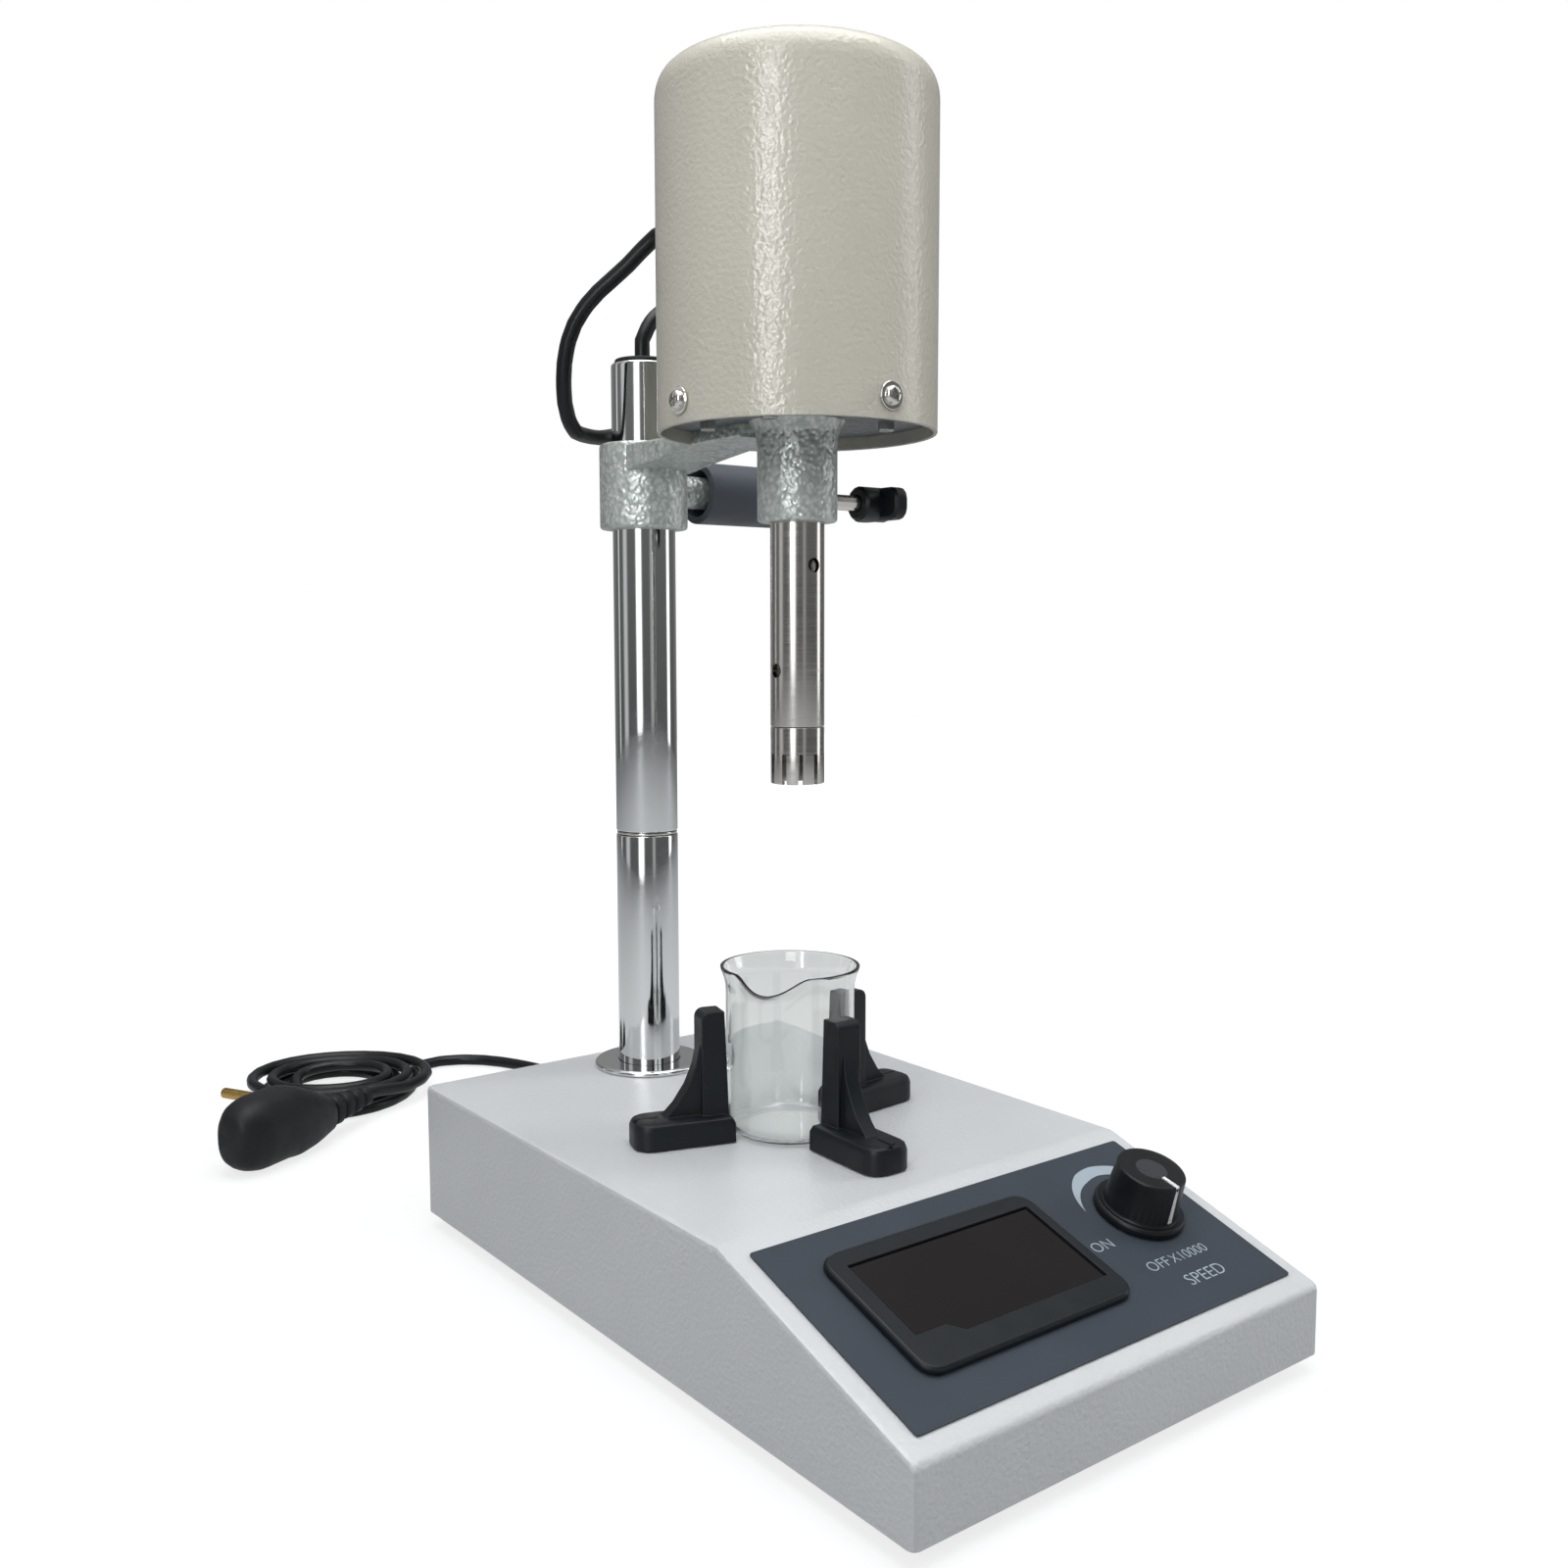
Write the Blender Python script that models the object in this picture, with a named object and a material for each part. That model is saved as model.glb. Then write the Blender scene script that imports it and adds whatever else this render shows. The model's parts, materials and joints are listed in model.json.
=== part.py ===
"""Laboratory homogenizer on a bench base.

A sheet-metal base with a sloped control panel carries a chromed column. An arm casting slides
and swings on the column, with the motor under a deep round cover and the stator and rotor tool
hanging below it, over a beaker that three sliding jaws hold.

Metres, +Z up. X runs across the front, -Y faces the user, and the origin is on the bench
under the middle of the base.
"""

import math

import bmesh
import bpy
from mathutils import Matrix, Vector

# Fits and drawing fineness
CLEAR = 0.0003
OVERRUN = 0.002
WELD = 0.000001
SHARP_ANGLE = math.radians(35)
BIG_SIDES = 36
ROUND_SIDES = 24
SMALL_SIDES = 16
TINY_SIDES = 10

# Base housing
BASE_WIDTH = 0.174
BASE_DEPTH = 0.286
BASE_HEIGHT = 0.0512
LIP_HEIGHT = 0.023
SLOPE_RUN = 0.0855
SHEET = 0.0015
BEND_RADIUS = 0.0022
RETURN_WIDTH = 0.032
PLATE_THICKNESS = 0.0012
VENT_LENGTH = 0.026
VENT_WIDTH = 0.003
VENT_PITCH = 0.008
VENTS_PER_ROW = 7
VENT_ROW_Y = 0.050

# Rubber feet
FOOT_HEIGHT = 0.006
FOOT_RADIUS = 0.008
FOOT_TOP_RADIUS = 0.009
FOOT_INSET = 0.022
FOOT_STEM_RADIUS = 0.0024
FOOT_BARB_RADIUS = 0.0034
FOOT_BARB_HEIGHT = 0.003

# Control panel on the slope
OVERLAY_THICKNESS = 0.0005
OVERLAY_MARGIN = 0.007
OVERLAY_CORNER = 0.001
BEZEL_WIDTH = 0.085
BEZEL_HEIGHT = 0.051
BEZEL_CORNER = 0.006
BEZEL_RISE = 0.0025
BEZEL_EDGE = 0.0008
BEZEL_X = -0.022
BEZEL_UP = 0.0458
BEZEL_BODY_INSET = 0.0022
BEZEL_BODY_CORNER = 0.003
BEZEL_DEPTH = 0.009
WINDOW_LEFT_MARGIN = 0.0065
WINDOW_RIGHT_MARGIN = 0.0045
WINDOW_TOP_MARGIN = 0.0070
WINDOW_LOW_MARGIN = 0.0095
WINDOW_STEP_IN = 0.0155
WINDOW_STEP_RISE = 0.0042
WINDOW_THICKNESS = 0.0015
WINDOW_RECESS = 0.0008
WINDOW_LEDGE = 0.0014
BOARD_THICKNESS = 0.0016

# Speed control
KNOB_X = 0.055
KNOB_UP = 0.050
KNOB_SKIRT_RADIUS = 0.015
KNOB_SKIRT_HEIGHT = 0.003
KNOB_FOOT_RADIUS = 0.0122
KNOB_TOP_RADIUS = 0.0114
KNOB_HEIGHT = 0.017
KNOB_DISH = 0.0005
KNOB_EDGE = 0.0005
KNOB_CAVITY_RADIUS = 0.0075
KNOB_CAVITY_DEPTH = 0.0055
POINTER_WIDTH = 0.0014
POINTER_DEPTH = 0.0007
POINTER_START = 0.0048
POT_RADIUS = 0.0115
POT_DEPTH = 0.0095
POT_BUSH_RADIUS = 0.0035
POT_BUSH_RISE = 0.0058
POT_SHAFT_RADIUS = 0.003
POT_SHAFT_REACH = 0.0145
POT_TAB_WIDTH = 0.003
POT_TAB_LENGTH = 0.006
POT_TAB_THICKNESS = 0.001
POT_NUT_ACROSS = 0.011
POT_NUT_THICKNESS = 0.002

# Control board on the base plate
BOARD_WIDTH = 0.084
BOARD_DEPTH = 0.060
BOARD_AHEAD = 0.105
BOARD_STAND = 0.008
STAND_RADIUS = 0.003
STAND_PIN_RADIUS = 0.0013
STAND_PIN_RISE = 0.0035
STAND_INSET = 0.005
CHOKE_RADIUS = 0.008
CHOKE_HEIGHT = 0.012
HEATSINK_SIZE = (0.024, 0.010, 0.016)
TERMINAL_SIZE = (0.020, 0.009, 0.011)

# Cord entry in the rear wall
GLAND_X = 0.048
GLAND_Z = 0.024
GLAND_FLANGE_RADIUS = 0.0085
GLAND_FLANGE = 0.0025
GLAND_NECK_RADIUS = 0.0062
GLAND_BARB_RADIUS = 0.0072
GLAND_TAIL = 0.018
GLAND_TAIL_RADIUS = 0.0052
GLAND_TIP_RADIUS = 0.0040
GLAND_RIBS = 4
GLAND_RIB_DEPTH = 0.0008

# Column
COLUMN_INSET = 0.028
COLUMN_RADIUS = 0.0125
COLUMN_BORE = 0.0095
COLUMN_TOP = 0.341
SEAM_RISE = 0.097
SEAM_RING_RADIUS = 0.0122
SEAM_RING = 0.001
SPIGOT_BORE = 0.0065
SPIGOT_REACH = 0.020
COLUMN_EDGE = 0.0012
STUB_RADIUS = 0.010
STUB_BORE = 0.0062
STUB_LENGTH = 0.014
STUB_SHOULDER = 0.012
FLANGE_RADIUS = 0.0225
FLANGE_THICKNESS = 0.002
FLANGE_EDGE = 0.0008
COLUMN_NUT_ACROSS = 0.032
COLUMN_NUT_THICKNESS = 0.008
GROMMET_LIP = 0.0014
GROMMET_LIP_RADIUS = 0.0112
GROMMET_DEPTH = 0.006
LEAD_RADIUS = 0.003
LEAD_ROUTE = [
    (0.000, 0.0005, 0.0420),
    (0.000, 0.007, 0.0320),
    (0.001, 0.021, 0.0270),
    (0.007, 0.045, 0.0255),
    (0.015, 0.070, 0.0245),
    (0.020, 0.093, 0.0232),
    (0.021, 0.1035, 0.0226),
    (0.021, 0.1122, 0.0226),
]

# Arm casting
DRIVE_Y = 0.015
COLLAR_RADIUS = 0.0175
COLLAR_LOW = 0.276
ARM_TOP = 0.308
ARM_HALF_WIDTH = 0.0145
ARM_LOW_BACK = 0.298
ARM_LOW_FRONT = 0.303
ARM_KNEE_AHEAD = 0.012
ARM_KNEE_BEHIND = 0.047
CASTING_EDGE = 0.0015
TOOL_COLLAR_RADIUS = 0.014
TOOL_COLLAR_LOW = 0.273
PLATE_LOW = 0.3075
PLATE_TOP = 0.3135
LOCK_BOSS_RADIUS = 0.0065
LOCK_BOSS_END = 0.034
LOCK_Z = 0.292
CLAMP_Z = 0.281

# Lock knob on the column and wing knob on the tool
LOCK_KNOB_START = 0.0256
LOCK_KNOB_END = 0.0675
LOCK_KNOB_RADIUS = 0.0125
LOCK_KNOB_EDGE = 0.0015
LOCK_KNOB_HOLLOW = 0.014
LOCK_STUD_RADIUS = 0.003
CLAMP_SCREW_RADIUS = 0.0028
WING_START = 0.027
WING_END = 0.041
WING_HUB_RADIUS = 0.0062
WING_SPAN = 0.013
WING_HEIGHT = 0.0115
WING_THICKNESS = 0.006
WING_TIP_RADIUS = 0.004
WING_EDGE = 0.001

# Motor cover
COVER_RADIUS = 0.0485
COVER_WALL = 0.0015
COVER_LOW = 0.303
COVER_TOP = 0.424
COVER_FILLET = 0.014
COVER_SCREW_Z = 0.3105
COVER_SCREW_TURNS = (-90, 180, 0)
COVER_SCREW_RADIUS = 0.0015
COVER_SCREW_HEAD = 0.0035
COVER_SCREW_WASHER = 0.0046
COVER_SCREW_LENGTH = 0.009
CABLE_HOLE_TURN = 99
CABLE_HOLE_Z = 0.385
CABLE_HOLE_RADIUS = 0.005

# Motor inside the cover
BELL_RADIUS = 0.036
BELL_WALL = 0.004
LOWER_BELL_TOP = 0.340
CORE_TOP = 0.370
CORE_WALL = 0.012
UPPER_BELL_TOP = 0.394
SHAFT_RADIUS = 0.004
SHAFT_TOP = 0.398
ARMATURE_RADIUS = 0.0195
ARMATURE_LOW = 0.343
ARMATURE_TOP = 0.369
ARMATURE_SLOTS = 10
ARMATURE_SLOT = 0.002
COMMUTATOR_RADIUS = 0.011
COMMUTATOR_LOW = 0.373
COMMUTATOR_TOP = 0.384
BEARING_RADIUS = 0.009
BEARING_WIDTH = 0.005
FAN_RADIUS = 0.026
FAN_HUB = 0.008
FAN_LOW = 0.324
FAN_HEIGHT = 0.009
FAN_BLADES = 8
FAN_BLADE = 0.0012
FAN_DISC = 0.0015
BRUSH_WIDTH = 0.007
BRUSH_HEIGHT = 0.008
COUPLING_RADIUS = 0.0070
COUPLING_LOW = 0.290
COUPLING_TOP = 0.309
COUPLING_WEB_LOW = 0.298
COUPLING_WEB_TOP = 0.300
COUPLING_WAY = 0.0078
REGISTER_RADIUS = 0.0112
REGISTER_LOW = 0.3101

# Stator and rotor tool
TOOL_RADIUS = 0.0095
TOOL_BORE = 0.0077
TOOL_TOP = 0.3035
TOOL_JOINT = 0.2017
TOOL_LOW = 0.1817
TOOL_SLOT_TOP = 0.1924
TOOL_SLOT_WIDTH = 0.0017
TOOL_SLOTS = 10
TOOL_SLOT_TURN = -13
TOOL_HOLE_RADIUS = 0.0025
TOOL_HOLE_HIGH = 0.258
TOOL_HOLE_LOW = 0.2216
TOOL_SHAFT_RADIUS = 0.003
KNIFE_REACH = 0.0068
KNIFE_THICKNESS = 0.002
KNIFE_LOW = 0.183
KNIFE_HIGH = 0.195
KNIVES = 2
BUSH_LOW = 0.206
BUSH_HIGH = 0.216

# Motor cable from the cover to the column
CABLE_RADIUS = 0.003
CABLE_ROUTE = [
    (-0.0136, 0.3820),
    (-0.0212, 0.3714),
    (-0.0313, 0.3585),
    (-0.0359, 0.3446),
    (-0.0351, 0.3270),
    (-0.0291, 0.3150),
    (-0.0175, 0.3135),
    (-0.0020, 0.3150),
    (0.0140, 0.3220),
    (0.0205, 0.3370),
    (0.0180, 0.3540),
    (0.0090, 0.3625),
]
CABLE_BACK_SHARES = (0.67, 0.77, 0.89, 0.96, 1.01, 1.06, 1.15, 1.225, 1.195, 1.11, 1.05, 1.01)

# Jaws that hold the beaker
JAW_LENGTH = 0.0355
JAW_WIDTH = 0.0175
JAW_FOOT_HEIGHT = 0.0095
JAW_NOSE_RADIUS = 0.0062
JAW_FOOT_EDGE = 0.0028
JAW_HEIGHT = 0.046
JAW_POST_WIDTH = 0.0096
JAW_POST_INNER = 0.0028
JAW_POST_DRAFT = 0.0018
JAW_POST_DEPTH = 0.0084
JAW_POST_EDGE = 0.003
JAW_RIB_WIDTH = 0.0056
JAW_RIB_TOP = 0.0348
JAW_RIB_REACH = 0.0255
JAW_RIB_SAG = 0.0030
JAW_GROOVE = 0.0008
JAW_TRAVEL = 0.012
JAW_SCREW_PLACE = 0.0125
JAW_SCREW_RADIUS = 0.002
JAW_SCREW_DEPTH = 0.0065
JAW_SCREW_WASHER = 0.0058
JAW_SCREW_HEAD = 0.0038
JAW_SCREW_HEAD_HEIGHT = 0.003
JAWS = {"left": 163, "front": -92, "right": 6}

# Beaker
BEAKER_X = -0.005
BEAKER_Y = 0.013
BEAKER_RADIUS = 0.023
BEAKER_WALL = 0.0013
BEAKER_HEIGHT = 0.0597
BEAKER_CORNER = 0.004
BEAKER_RIM_RADIUS = 0.0249
BEAKER_RIM_RISE = 0.006
SPOUT_TURN = -145
SPOUT_SPREAD = 35
SPOUT_REACH = 0.0045
SPOUT_DROP = 0.005
SPOUT_DEPTH = 0.016

# Mains cord, its coil on the bench and its plug
CORD_RADIUS = 0.0028
CORD_ROUTE = [
    (0.048, 0.172, 0.0240),
    (0.0485, 0.187, 0.0170),
    (0.050, 0.204, 0.0070),
    (0.0515, 0.222, 0.0031),
    (0.052, 0.250, 0.0031),
    (0.0505, 0.280, 0.0031),
    (0.044, 0.308, 0.0031),
    (0.032, 0.332, 0.0031),
    (0.016, 0.345, 0.0031),
    (0.000, 0.3450, 0.0031),
]
COIL_X = -0.052
COIL_Y = 0.334
COIL_RADIUS = 0.0430
COIL_PITCH = 0.0090
COIL_TURNS = 5.14
COIL_START = -10
COIL_LAYER = 0.0062
COIL_OVAL_TURN = 60
COIL_OVAL_TWIST = 85
COIL_OVAL_SHARE = 0.09
PLUG_X = -0.056
PLUG_Y = 0.283
PLUG_TIP_Z = 0.0125
PLUG_TURN = 208
PLUG_RELIEF = 0.030
PLUG_BODY = 0.058
PLUG_HEIGHT = 0.033
PLUG_DEPTH = 0.026
PLUG_TIP_RADIUS = 0.0046
PLUG_NECK_RADIUS = 0.0080
PLUG_RIBS = 4
PLUG_RIB_DEPTH = 0.0012
PLUG_RIB_SHARES = (0.5, 0.6, 0.9)
PLUG_SQUARE_SHARE = 0.8
PLUG_BODY_SHARES = [
    (0.0, 0.66, 0.52),
    (0.2, 0.90, 0.80),
    (0.4, 1.0, 1.0),
    (0.8, 1.0, 1.0),
    (0.95, 0.80, 0.84),
    (1.0, 0.50, 0.55),
]
PIN_RADIUS = 0.0024
PIN_LENGTH = 0.019
PIN_SUNK = 0.008
PIN_SPACING = 0.019

# Places that follow from the base
BASE_FLOOR = FOOT_HEIGHT
BASE_TOP = FOOT_HEIGHT + BASE_HEIGHT
FRONT = -BASE_DEPTH / 2
BACK = BASE_DEPTH / 2
COLUMN_Y = BACK - COLUMN_INSET
BOARD_Y = COLUMN_Y - BOARD_AHEAD
SLOPE_ANGLE = math.atan2(BASE_HEIGHT - LIP_HEIGHT, SLOPE_RUN)
SLOPE_LENGTH = math.hypot(BASE_HEIGHT - LIP_HEIGHT, SLOPE_RUN)
INNER_WIDTH = BASE_WIDTH - 2 * SHEET
INNER_DEPTH = BASE_DEPTH - 2 * SHEET
RETURN_LOW = BASE_FLOOR + PLATE_THICKNESS + CLEAR
RETURN_TOP = RETURN_LOW + SHEET
SEAM_Z = BASE_TOP + SEAM_RISE
PLATE_RADIUS = COVER_RADIUS - COVER_WALL - CLEAR
OVERLAY_TOP = CLEAR + OVERLAY_THICKNESS
PANEL_SEAT = OVERLAY_TOP + CLEAR


def clear_scene():
    """Remove whatever the scene holds."""
    for item in list(bpy.data.objects):
        bpy.data.objects.remove(item, do_unlink=True)


def finish(name, colour, roughness, metallic=0.0):
    """Return a plain material."""
    made = bpy.data.materials.new(name)
    made.use_nodes = True
    shader = made.node_tree.nodes["Principled BSDF"]
    shader.inputs["Base Color"].default_value = (*colour, 1.0)
    shader.inputs["Roughness"].default_value = roughness
    shader.inputs["Metallic"].default_value = metallic
    return made


def finishes():
    """Return every material that the pieces use, by its everyday name."""
    return {
        "white_paint": finish("white_paint", (0.65, 0.68, 0.69), 0.45),
        "cream_paint": finish("cream_paint", (0.56, 0.55, 0.49), 0.38),
        "slate_film": finish("slate_film", (0.065, 0.080, 0.100), 0.55),
        "black_plastic": finish("black_plastic", (0.012, 0.014, 0.017), 0.45),
        "grey_plastic": finish("grey_plastic", (0.075, 0.085, 0.100), 0.50),
        "smoked_acrylic": finish("smoked_acrylic", (0.016, 0.014, 0.013), 0.15),
        "white_mark": finish("white_mark", (0.70, 0.70, 0.70), 0.50),
        "rubber": finish("rubber", (0.015, 0.016, 0.018), 0.70),
        "cord_jacket": finish("cord_jacket", (0.010, 0.011, 0.013), 0.50),
        "chrome": finish("chrome", (0.80, 0.80, 0.80), 0.08, 1.0),
        "steel": finish("steel", (0.55, 0.55, 0.53), 0.25, 1.0),
        "zinc": finish("zinc", (0.50, 0.50, 0.48), 0.40, 1.0),
        "casting": finish("casting", (0.42, 0.44, 0.43), 0.50, 0.8),
        "brass": finish("brass", (0.60, 0.45, 0.18), 0.35, 1.0),
        "board": finish("board", (0.03, 0.13, 0.06), 0.50),
        "glass": finish("glass", (0.80, 0.84, 0.84), 0.05),
        "fluoropolymer": finish("fluoropolymer", (0.75, 0.75, 0.72), 0.45),
    }


def empty(name, location=(0, 0, 0), turn=(0, 0, 0), parent=None):
    """Return an empty that carries the pieces of one frame."""
    made = bpy.data.objects.new(name, None)
    bpy.context.scene.collection.objects.link(made)
    made.location = location
    made.rotation_euler = turn
    made.parent = parent
    return made


def piece(name, shape, look, location=(0, 0, 0), turn=(0, 0, 0), parent=None):
    """Turn a bmesh into a named object with its material."""
    bmesh.ops.recalc_face_normals(shape, faces=shape.faces)
    mesh = bpy.data.meshes.new(name)
    shape.to_mesh(mesh)
    shape.free()
    mesh.shade_smooth()
    mesh.set_sharp_from_angle(angle=SHARP_ANGLE)
    if look:
        mesh.materials.append(look)
    made = bpy.data.objects.new(name, mesh)
    bpy.context.scene.collection.objects.link(made)
    made.location = location
    made.rotation_euler = turn
    made.parent = parent
    return made


def combine(target, shape, operation):
    """Add a Boolean with a hidden helper that lies in the target's own space."""
    helper = piece(f"{target.name}_{operation.lower()}_{len(target.modifiers)}", shape, None)
    helper.parent = target
    helper.hide_render = True
    helper.display_type = "WIRE"
    step = target.modifiers.new(helper.name, "BOOLEAN")
    step.operation = operation
    step.solver = "EXACT"
    step.object = helper


def cut(target, shape):
    """Take a shape away from an object."""
    combine(target, shape, "DIFFERENCE")


def add(target, shape):
    """Fuse a shape to an object."""
    combine(target, shape, "UNION")


def moved(shape, x=0.0, y=0.0, z=0.0):
    """Shift a bmesh."""
    bmesh.ops.translate(shape, verts=shape.verts, vec=(x, y, z))
    return shape


def swung(shape, angle, axis="Z"):
    """Turn a bmesh about an axis through the origin."""
    turn = Matrix.Rotation(angle, 3, axis)
    bmesh.ops.rotate(shape, verts=shape.verts, cent=(0, 0, 0), matrix=turn)
    return shape


def half_step(shape):
    """Turn a cutter so that its corners miss the spokes of the round piece that it cuts."""
    return swung(shape, math.pi / ROUND_SIDES)


def along_x(shape):
    """Lay a bmesh drawn up Z along X, with its X and Y as world Y and Z."""
    lay = Matrix(((0, 0, 1, 0), (1, 0, 0, 0), (0, 1, 0, 0), (0, 0, 0, 1)))
    bmesh.ops.transform(shape, verts=shape.verts, matrix=lay)
    return shape


def along_y(shape):
    """Lay a bmesh drawn up Z along Y, with its X and Y as world Z and X."""
    lay = Matrix(((0, 1, 0, 0), (0, 0, 1, 0), (1, 0, 0, 0), (0, 0, 0, 1)))
    bmesh.ops.transform(shape, verts=shape.verts, matrix=lay)
    return shape


def together(shapes):
    """Gather separate bodies in one bmesh."""
    whole = bmesh.new()
    for shape in shapes:
        carrier = bpy.data.meshes.new("carrier")
        bmesh.ops.recalc_face_normals(shape, faces=shape.faces)
        shape.to_mesh(carrier)
        shape.free()
        whole.from_mesh(carrier)
        bpy.data.meshes.remove(carrier)
    return whole


def prism(outline, low, high):
    """Extrude a flat outline from one height to another."""
    shape = bmesh.new()
    corners = [shape.verts.new((x, y, low)) for x, y in outline]
    base = shape.faces.new(corners)
    grown = bmesh.ops.extrude_face_region(shape, geom=[base])
    risen = [item for item in grown["geom"] if isinstance(item, bmesh.types.BMVert)]
    bmesh.ops.translate(shape, verts=risen, vec=(0, 0, high - low))
    bmesh.ops.recalc_face_normals(shape, faces=shape.faces)
    return shape


def turned(profile, sides):
    """Spin a profile of radius and height about Z.

    The profile runs from the axis to the axis, or closes on itself away from it.
    """
    shape = bmesh.new()
    points = [shape.verts.new((radius, 0, height)) for radius, height in profile]
    edges = [shape.edges.new(pair) for pair in zip(points, points[1:])]
    if profile[0][0] > 0:
        edges.append(shape.edges.new((points[-1], points[0])))
    bmesh.ops.spin(shape, geom=points + edges, cent=(0, 0, 0), axis=(0, 0, 1),
                   angle=math.tau, steps=sides, use_merge=True)
    bmesh.ops.remove_doubles(shape, verts=shape.verts, dist=WELD)
    bmesh.ops.recalc_face_normals(shape, faces=shape.faces)
    return shape


def rod(radius, low, high, sides=SMALL_SIDES):
    """Return an upright cylinder."""
    return prism(ring(radius, sides), low, high)


def sleeve(outer, inner, low, high, sides=ROUND_SIDES):
    """Return an upright tube."""
    return turned([(outer, low), (outer, high), (inner, high), (inner, low)], sides)


def block(width, depth, low, high, x=0.0, y=0.0):
    """Return an upright box round a centre."""
    return moved(prism(rectangle(width, depth), low, high), x, y)


def ring(radius, sides, x=0.0, y=0.0):
    """Return the points of a circle."""
    steps = [math.tau * step / sides for step in range(sides)]
    return [(x + radius * math.cos(angle), y + radius * math.sin(angle)) for angle in steps]


def rectangle(width, depth, x=0.0, y=0.0):
    """Return the corners of a rectangle."""
    right, back = width / 2, depth / 2
    return [(x - right, y - back), (x + right, y - back), (x + right, y + back), (x - right, y + back)]


def arc(x, y, radius, start, stop, steps):
    """Return points along an arc, with its angles in degrees."""
    turns = [math.radians(start + (stop - start) * step / steps) for step in range(steps + 1)]
    return [(x + radius * math.cos(turn), y + radius * math.sin(turn)) for turn in turns]


def rounded(width, depth, radius, steps=4, x=0.0, y=0.0):
    """Return a rectangle with round corners."""
    right, back = width / 2 - radius, depth / 2 - radius
    corners = ((right, back), (-right, back), (-right, -back), (right, -back))
    points = []
    for quarter, (side, end) in enumerate(corners):
        points += arc(x + side, y + end, radius, 90 * quarter, 90 * quarter + 90, steps)
    return points


def offset(outline, distance):
    """Move every side of an anticlockwise outline outward."""
    moved_points = []
    count = len(outline)
    for index in range(count):
        before = Vector(outline[index]) - Vector(outline[index - 1])
        after = Vector(outline[(index + 1) % count]) - Vector(outline[index])
        first = Vector((before.y, -before.x)).normalized()
        second = Vector((after.y, -after.x)).normalized()
        middle = (first + second) / (1 + first.dot(second))
        moved_points.append(tuple(Vector(outline[index]) + middle * distance))
    return moved_points


def soften(shape, width, segments, chosen):
    """Round the edges that a test picks."""
    edges = [edge for edge in shape.edges if chosen(edge)]
    bmesh.ops.bevel(shape, geom=edges, offset=width, segments=segments, profile=0.5,
                    affect="EDGES", clamp_overlap=True)
    return shape


def at_height(edge, height):
    """Tell whether an edge lies at one height."""
    return all(abs(vert.co.z - height) < WELD for vert in edge.verts)


def hexagon(across):
    """Return a hexagon by its size across the flats."""
    return ring(across / math.sqrt(3), 6)


def side_outline(inset, low):
    """Return the housing's side outline as depth and height, moved inward by an inset."""
    lip = BASE_FLOOR + LIP_HEIGHT
    outer = [(FRONT, BASE_FLOOR), (BACK, BASE_FLOOR), (BACK, BASE_TOP),
             (FRONT + SLOPE_RUN, BASE_TOP), (FRONT, lip)]
    inner = offset(outer, -inset)
    return [(inner[0][0], low), (inner[1][0], low)] + inner[2:]


def housing_volume(inset, low, bend):
    """Return the housing's volume with its bent edges rounded."""
    half = BASE_WIDTH / 2 - inset
    volume = along_x(prism(side_outline(inset, low), -half, half))
    return soften(volume, bend, 2, lambda edge: not at_height(edge, low))


def on_slope(shape):
    """Bring a shape drawn in the panel's frame to the slope."""
    swung(shape, SLOPE_ANGLE, "X")
    return moved(shape, 0.0, FRONT, BASE_FLOOR + LIP_HEIGHT)


def bezel_body(growth):
    """Return the outline of the display's body behind its frame."""
    inset = 2 * (BEZEL_BODY_INSET - growth)
    return rounded(BEZEL_WIDTH - inset, BEZEL_HEIGHT - inset, BEZEL_BODY_CORNER, 3, BEZEL_X, BEZEL_UP)


def panel_holes(reach_up, reach_down):
    """Return cutters for the display's body and the control's bush."""
    bush = ring(POT_BUSH_RADIUS + CLEAR, SMALL_SIDES, KNOB_X, KNOB_UP)
    return together([prism(outline, -reach_down, reach_up) for outline in (bezel_body(CLEAR), bush)])


def jaw_slot(jaw):
    """Return the cutter of the slot that a jaw's screw slides in."""
    radius = JAW_SCREW_RADIUS + CLEAR
    near, far = JAW_SCREW_PLACE, JAW_SCREW_PLACE + JAW_TRAVEL
    outline = arc(far, 0, radius, -90, 90, 5) + arc(near, 0, radius, 90, 270, 5)
    slot = swung(prism(outline, BASE_TOP - SHEET - OVERRUN, BASE_TOP + OVERRUN), jaw_heading(jaw))
    x, y = jaw_start(jaw)
    return moved(slot, x, y)


def base_shell(looks):
    """Make the folded housing with its return flange and its openings."""
    shell = piece("base_shell", housing_volume(0, BASE_FLOOR, BEND_RADIUS), looks["white_paint"])
    cut(shell, housing_volume(SHEET, RETURN_TOP, BEND_RADIUS - SHEET))
    cut(shell, block(INNER_WIDTH, INNER_DEPTH, BASE_FLOOR - OVERRUN, RETURN_LOW))
    way = 2 * RETURN_WIDTH
    cut(shell, block(INNER_WIDTH - way, INNER_DEPTH - way, RETURN_LOW - CLEAR, RETURN_TOP + CLEAR))
    cut(shell, together([moved(rod(FOOT_STEM_RADIUS + CLEAR, RETURN_LOW - CLEAR, RETURN_TOP + CLEAR,
                                   TINY_SIDES), x, y) for x, y in foot_places()]))
    cut(shell, on_slope(panel_holes(OVERRUN, SHEET + OVERRUN)))
    cut(shell, together([jaw_slot(jaw) for jaw in JAWS]))
    cut(shell, moved(rod(STUB_RADIUS + CLEAR, BASE_TOP - SHEET - OVERRUN, BASE_TOP + OVERRUN,
                         ROUND_SIDES), 0, COLUMN_Y))
    gland = along_y(rod(GLAND_NECK_RADIUS + CLEAR, -SHEET - OVERRUN, OVERRUN))
    cut(shell, moved(gland, GLAND_X, BACK, GLAND_Z))


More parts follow.
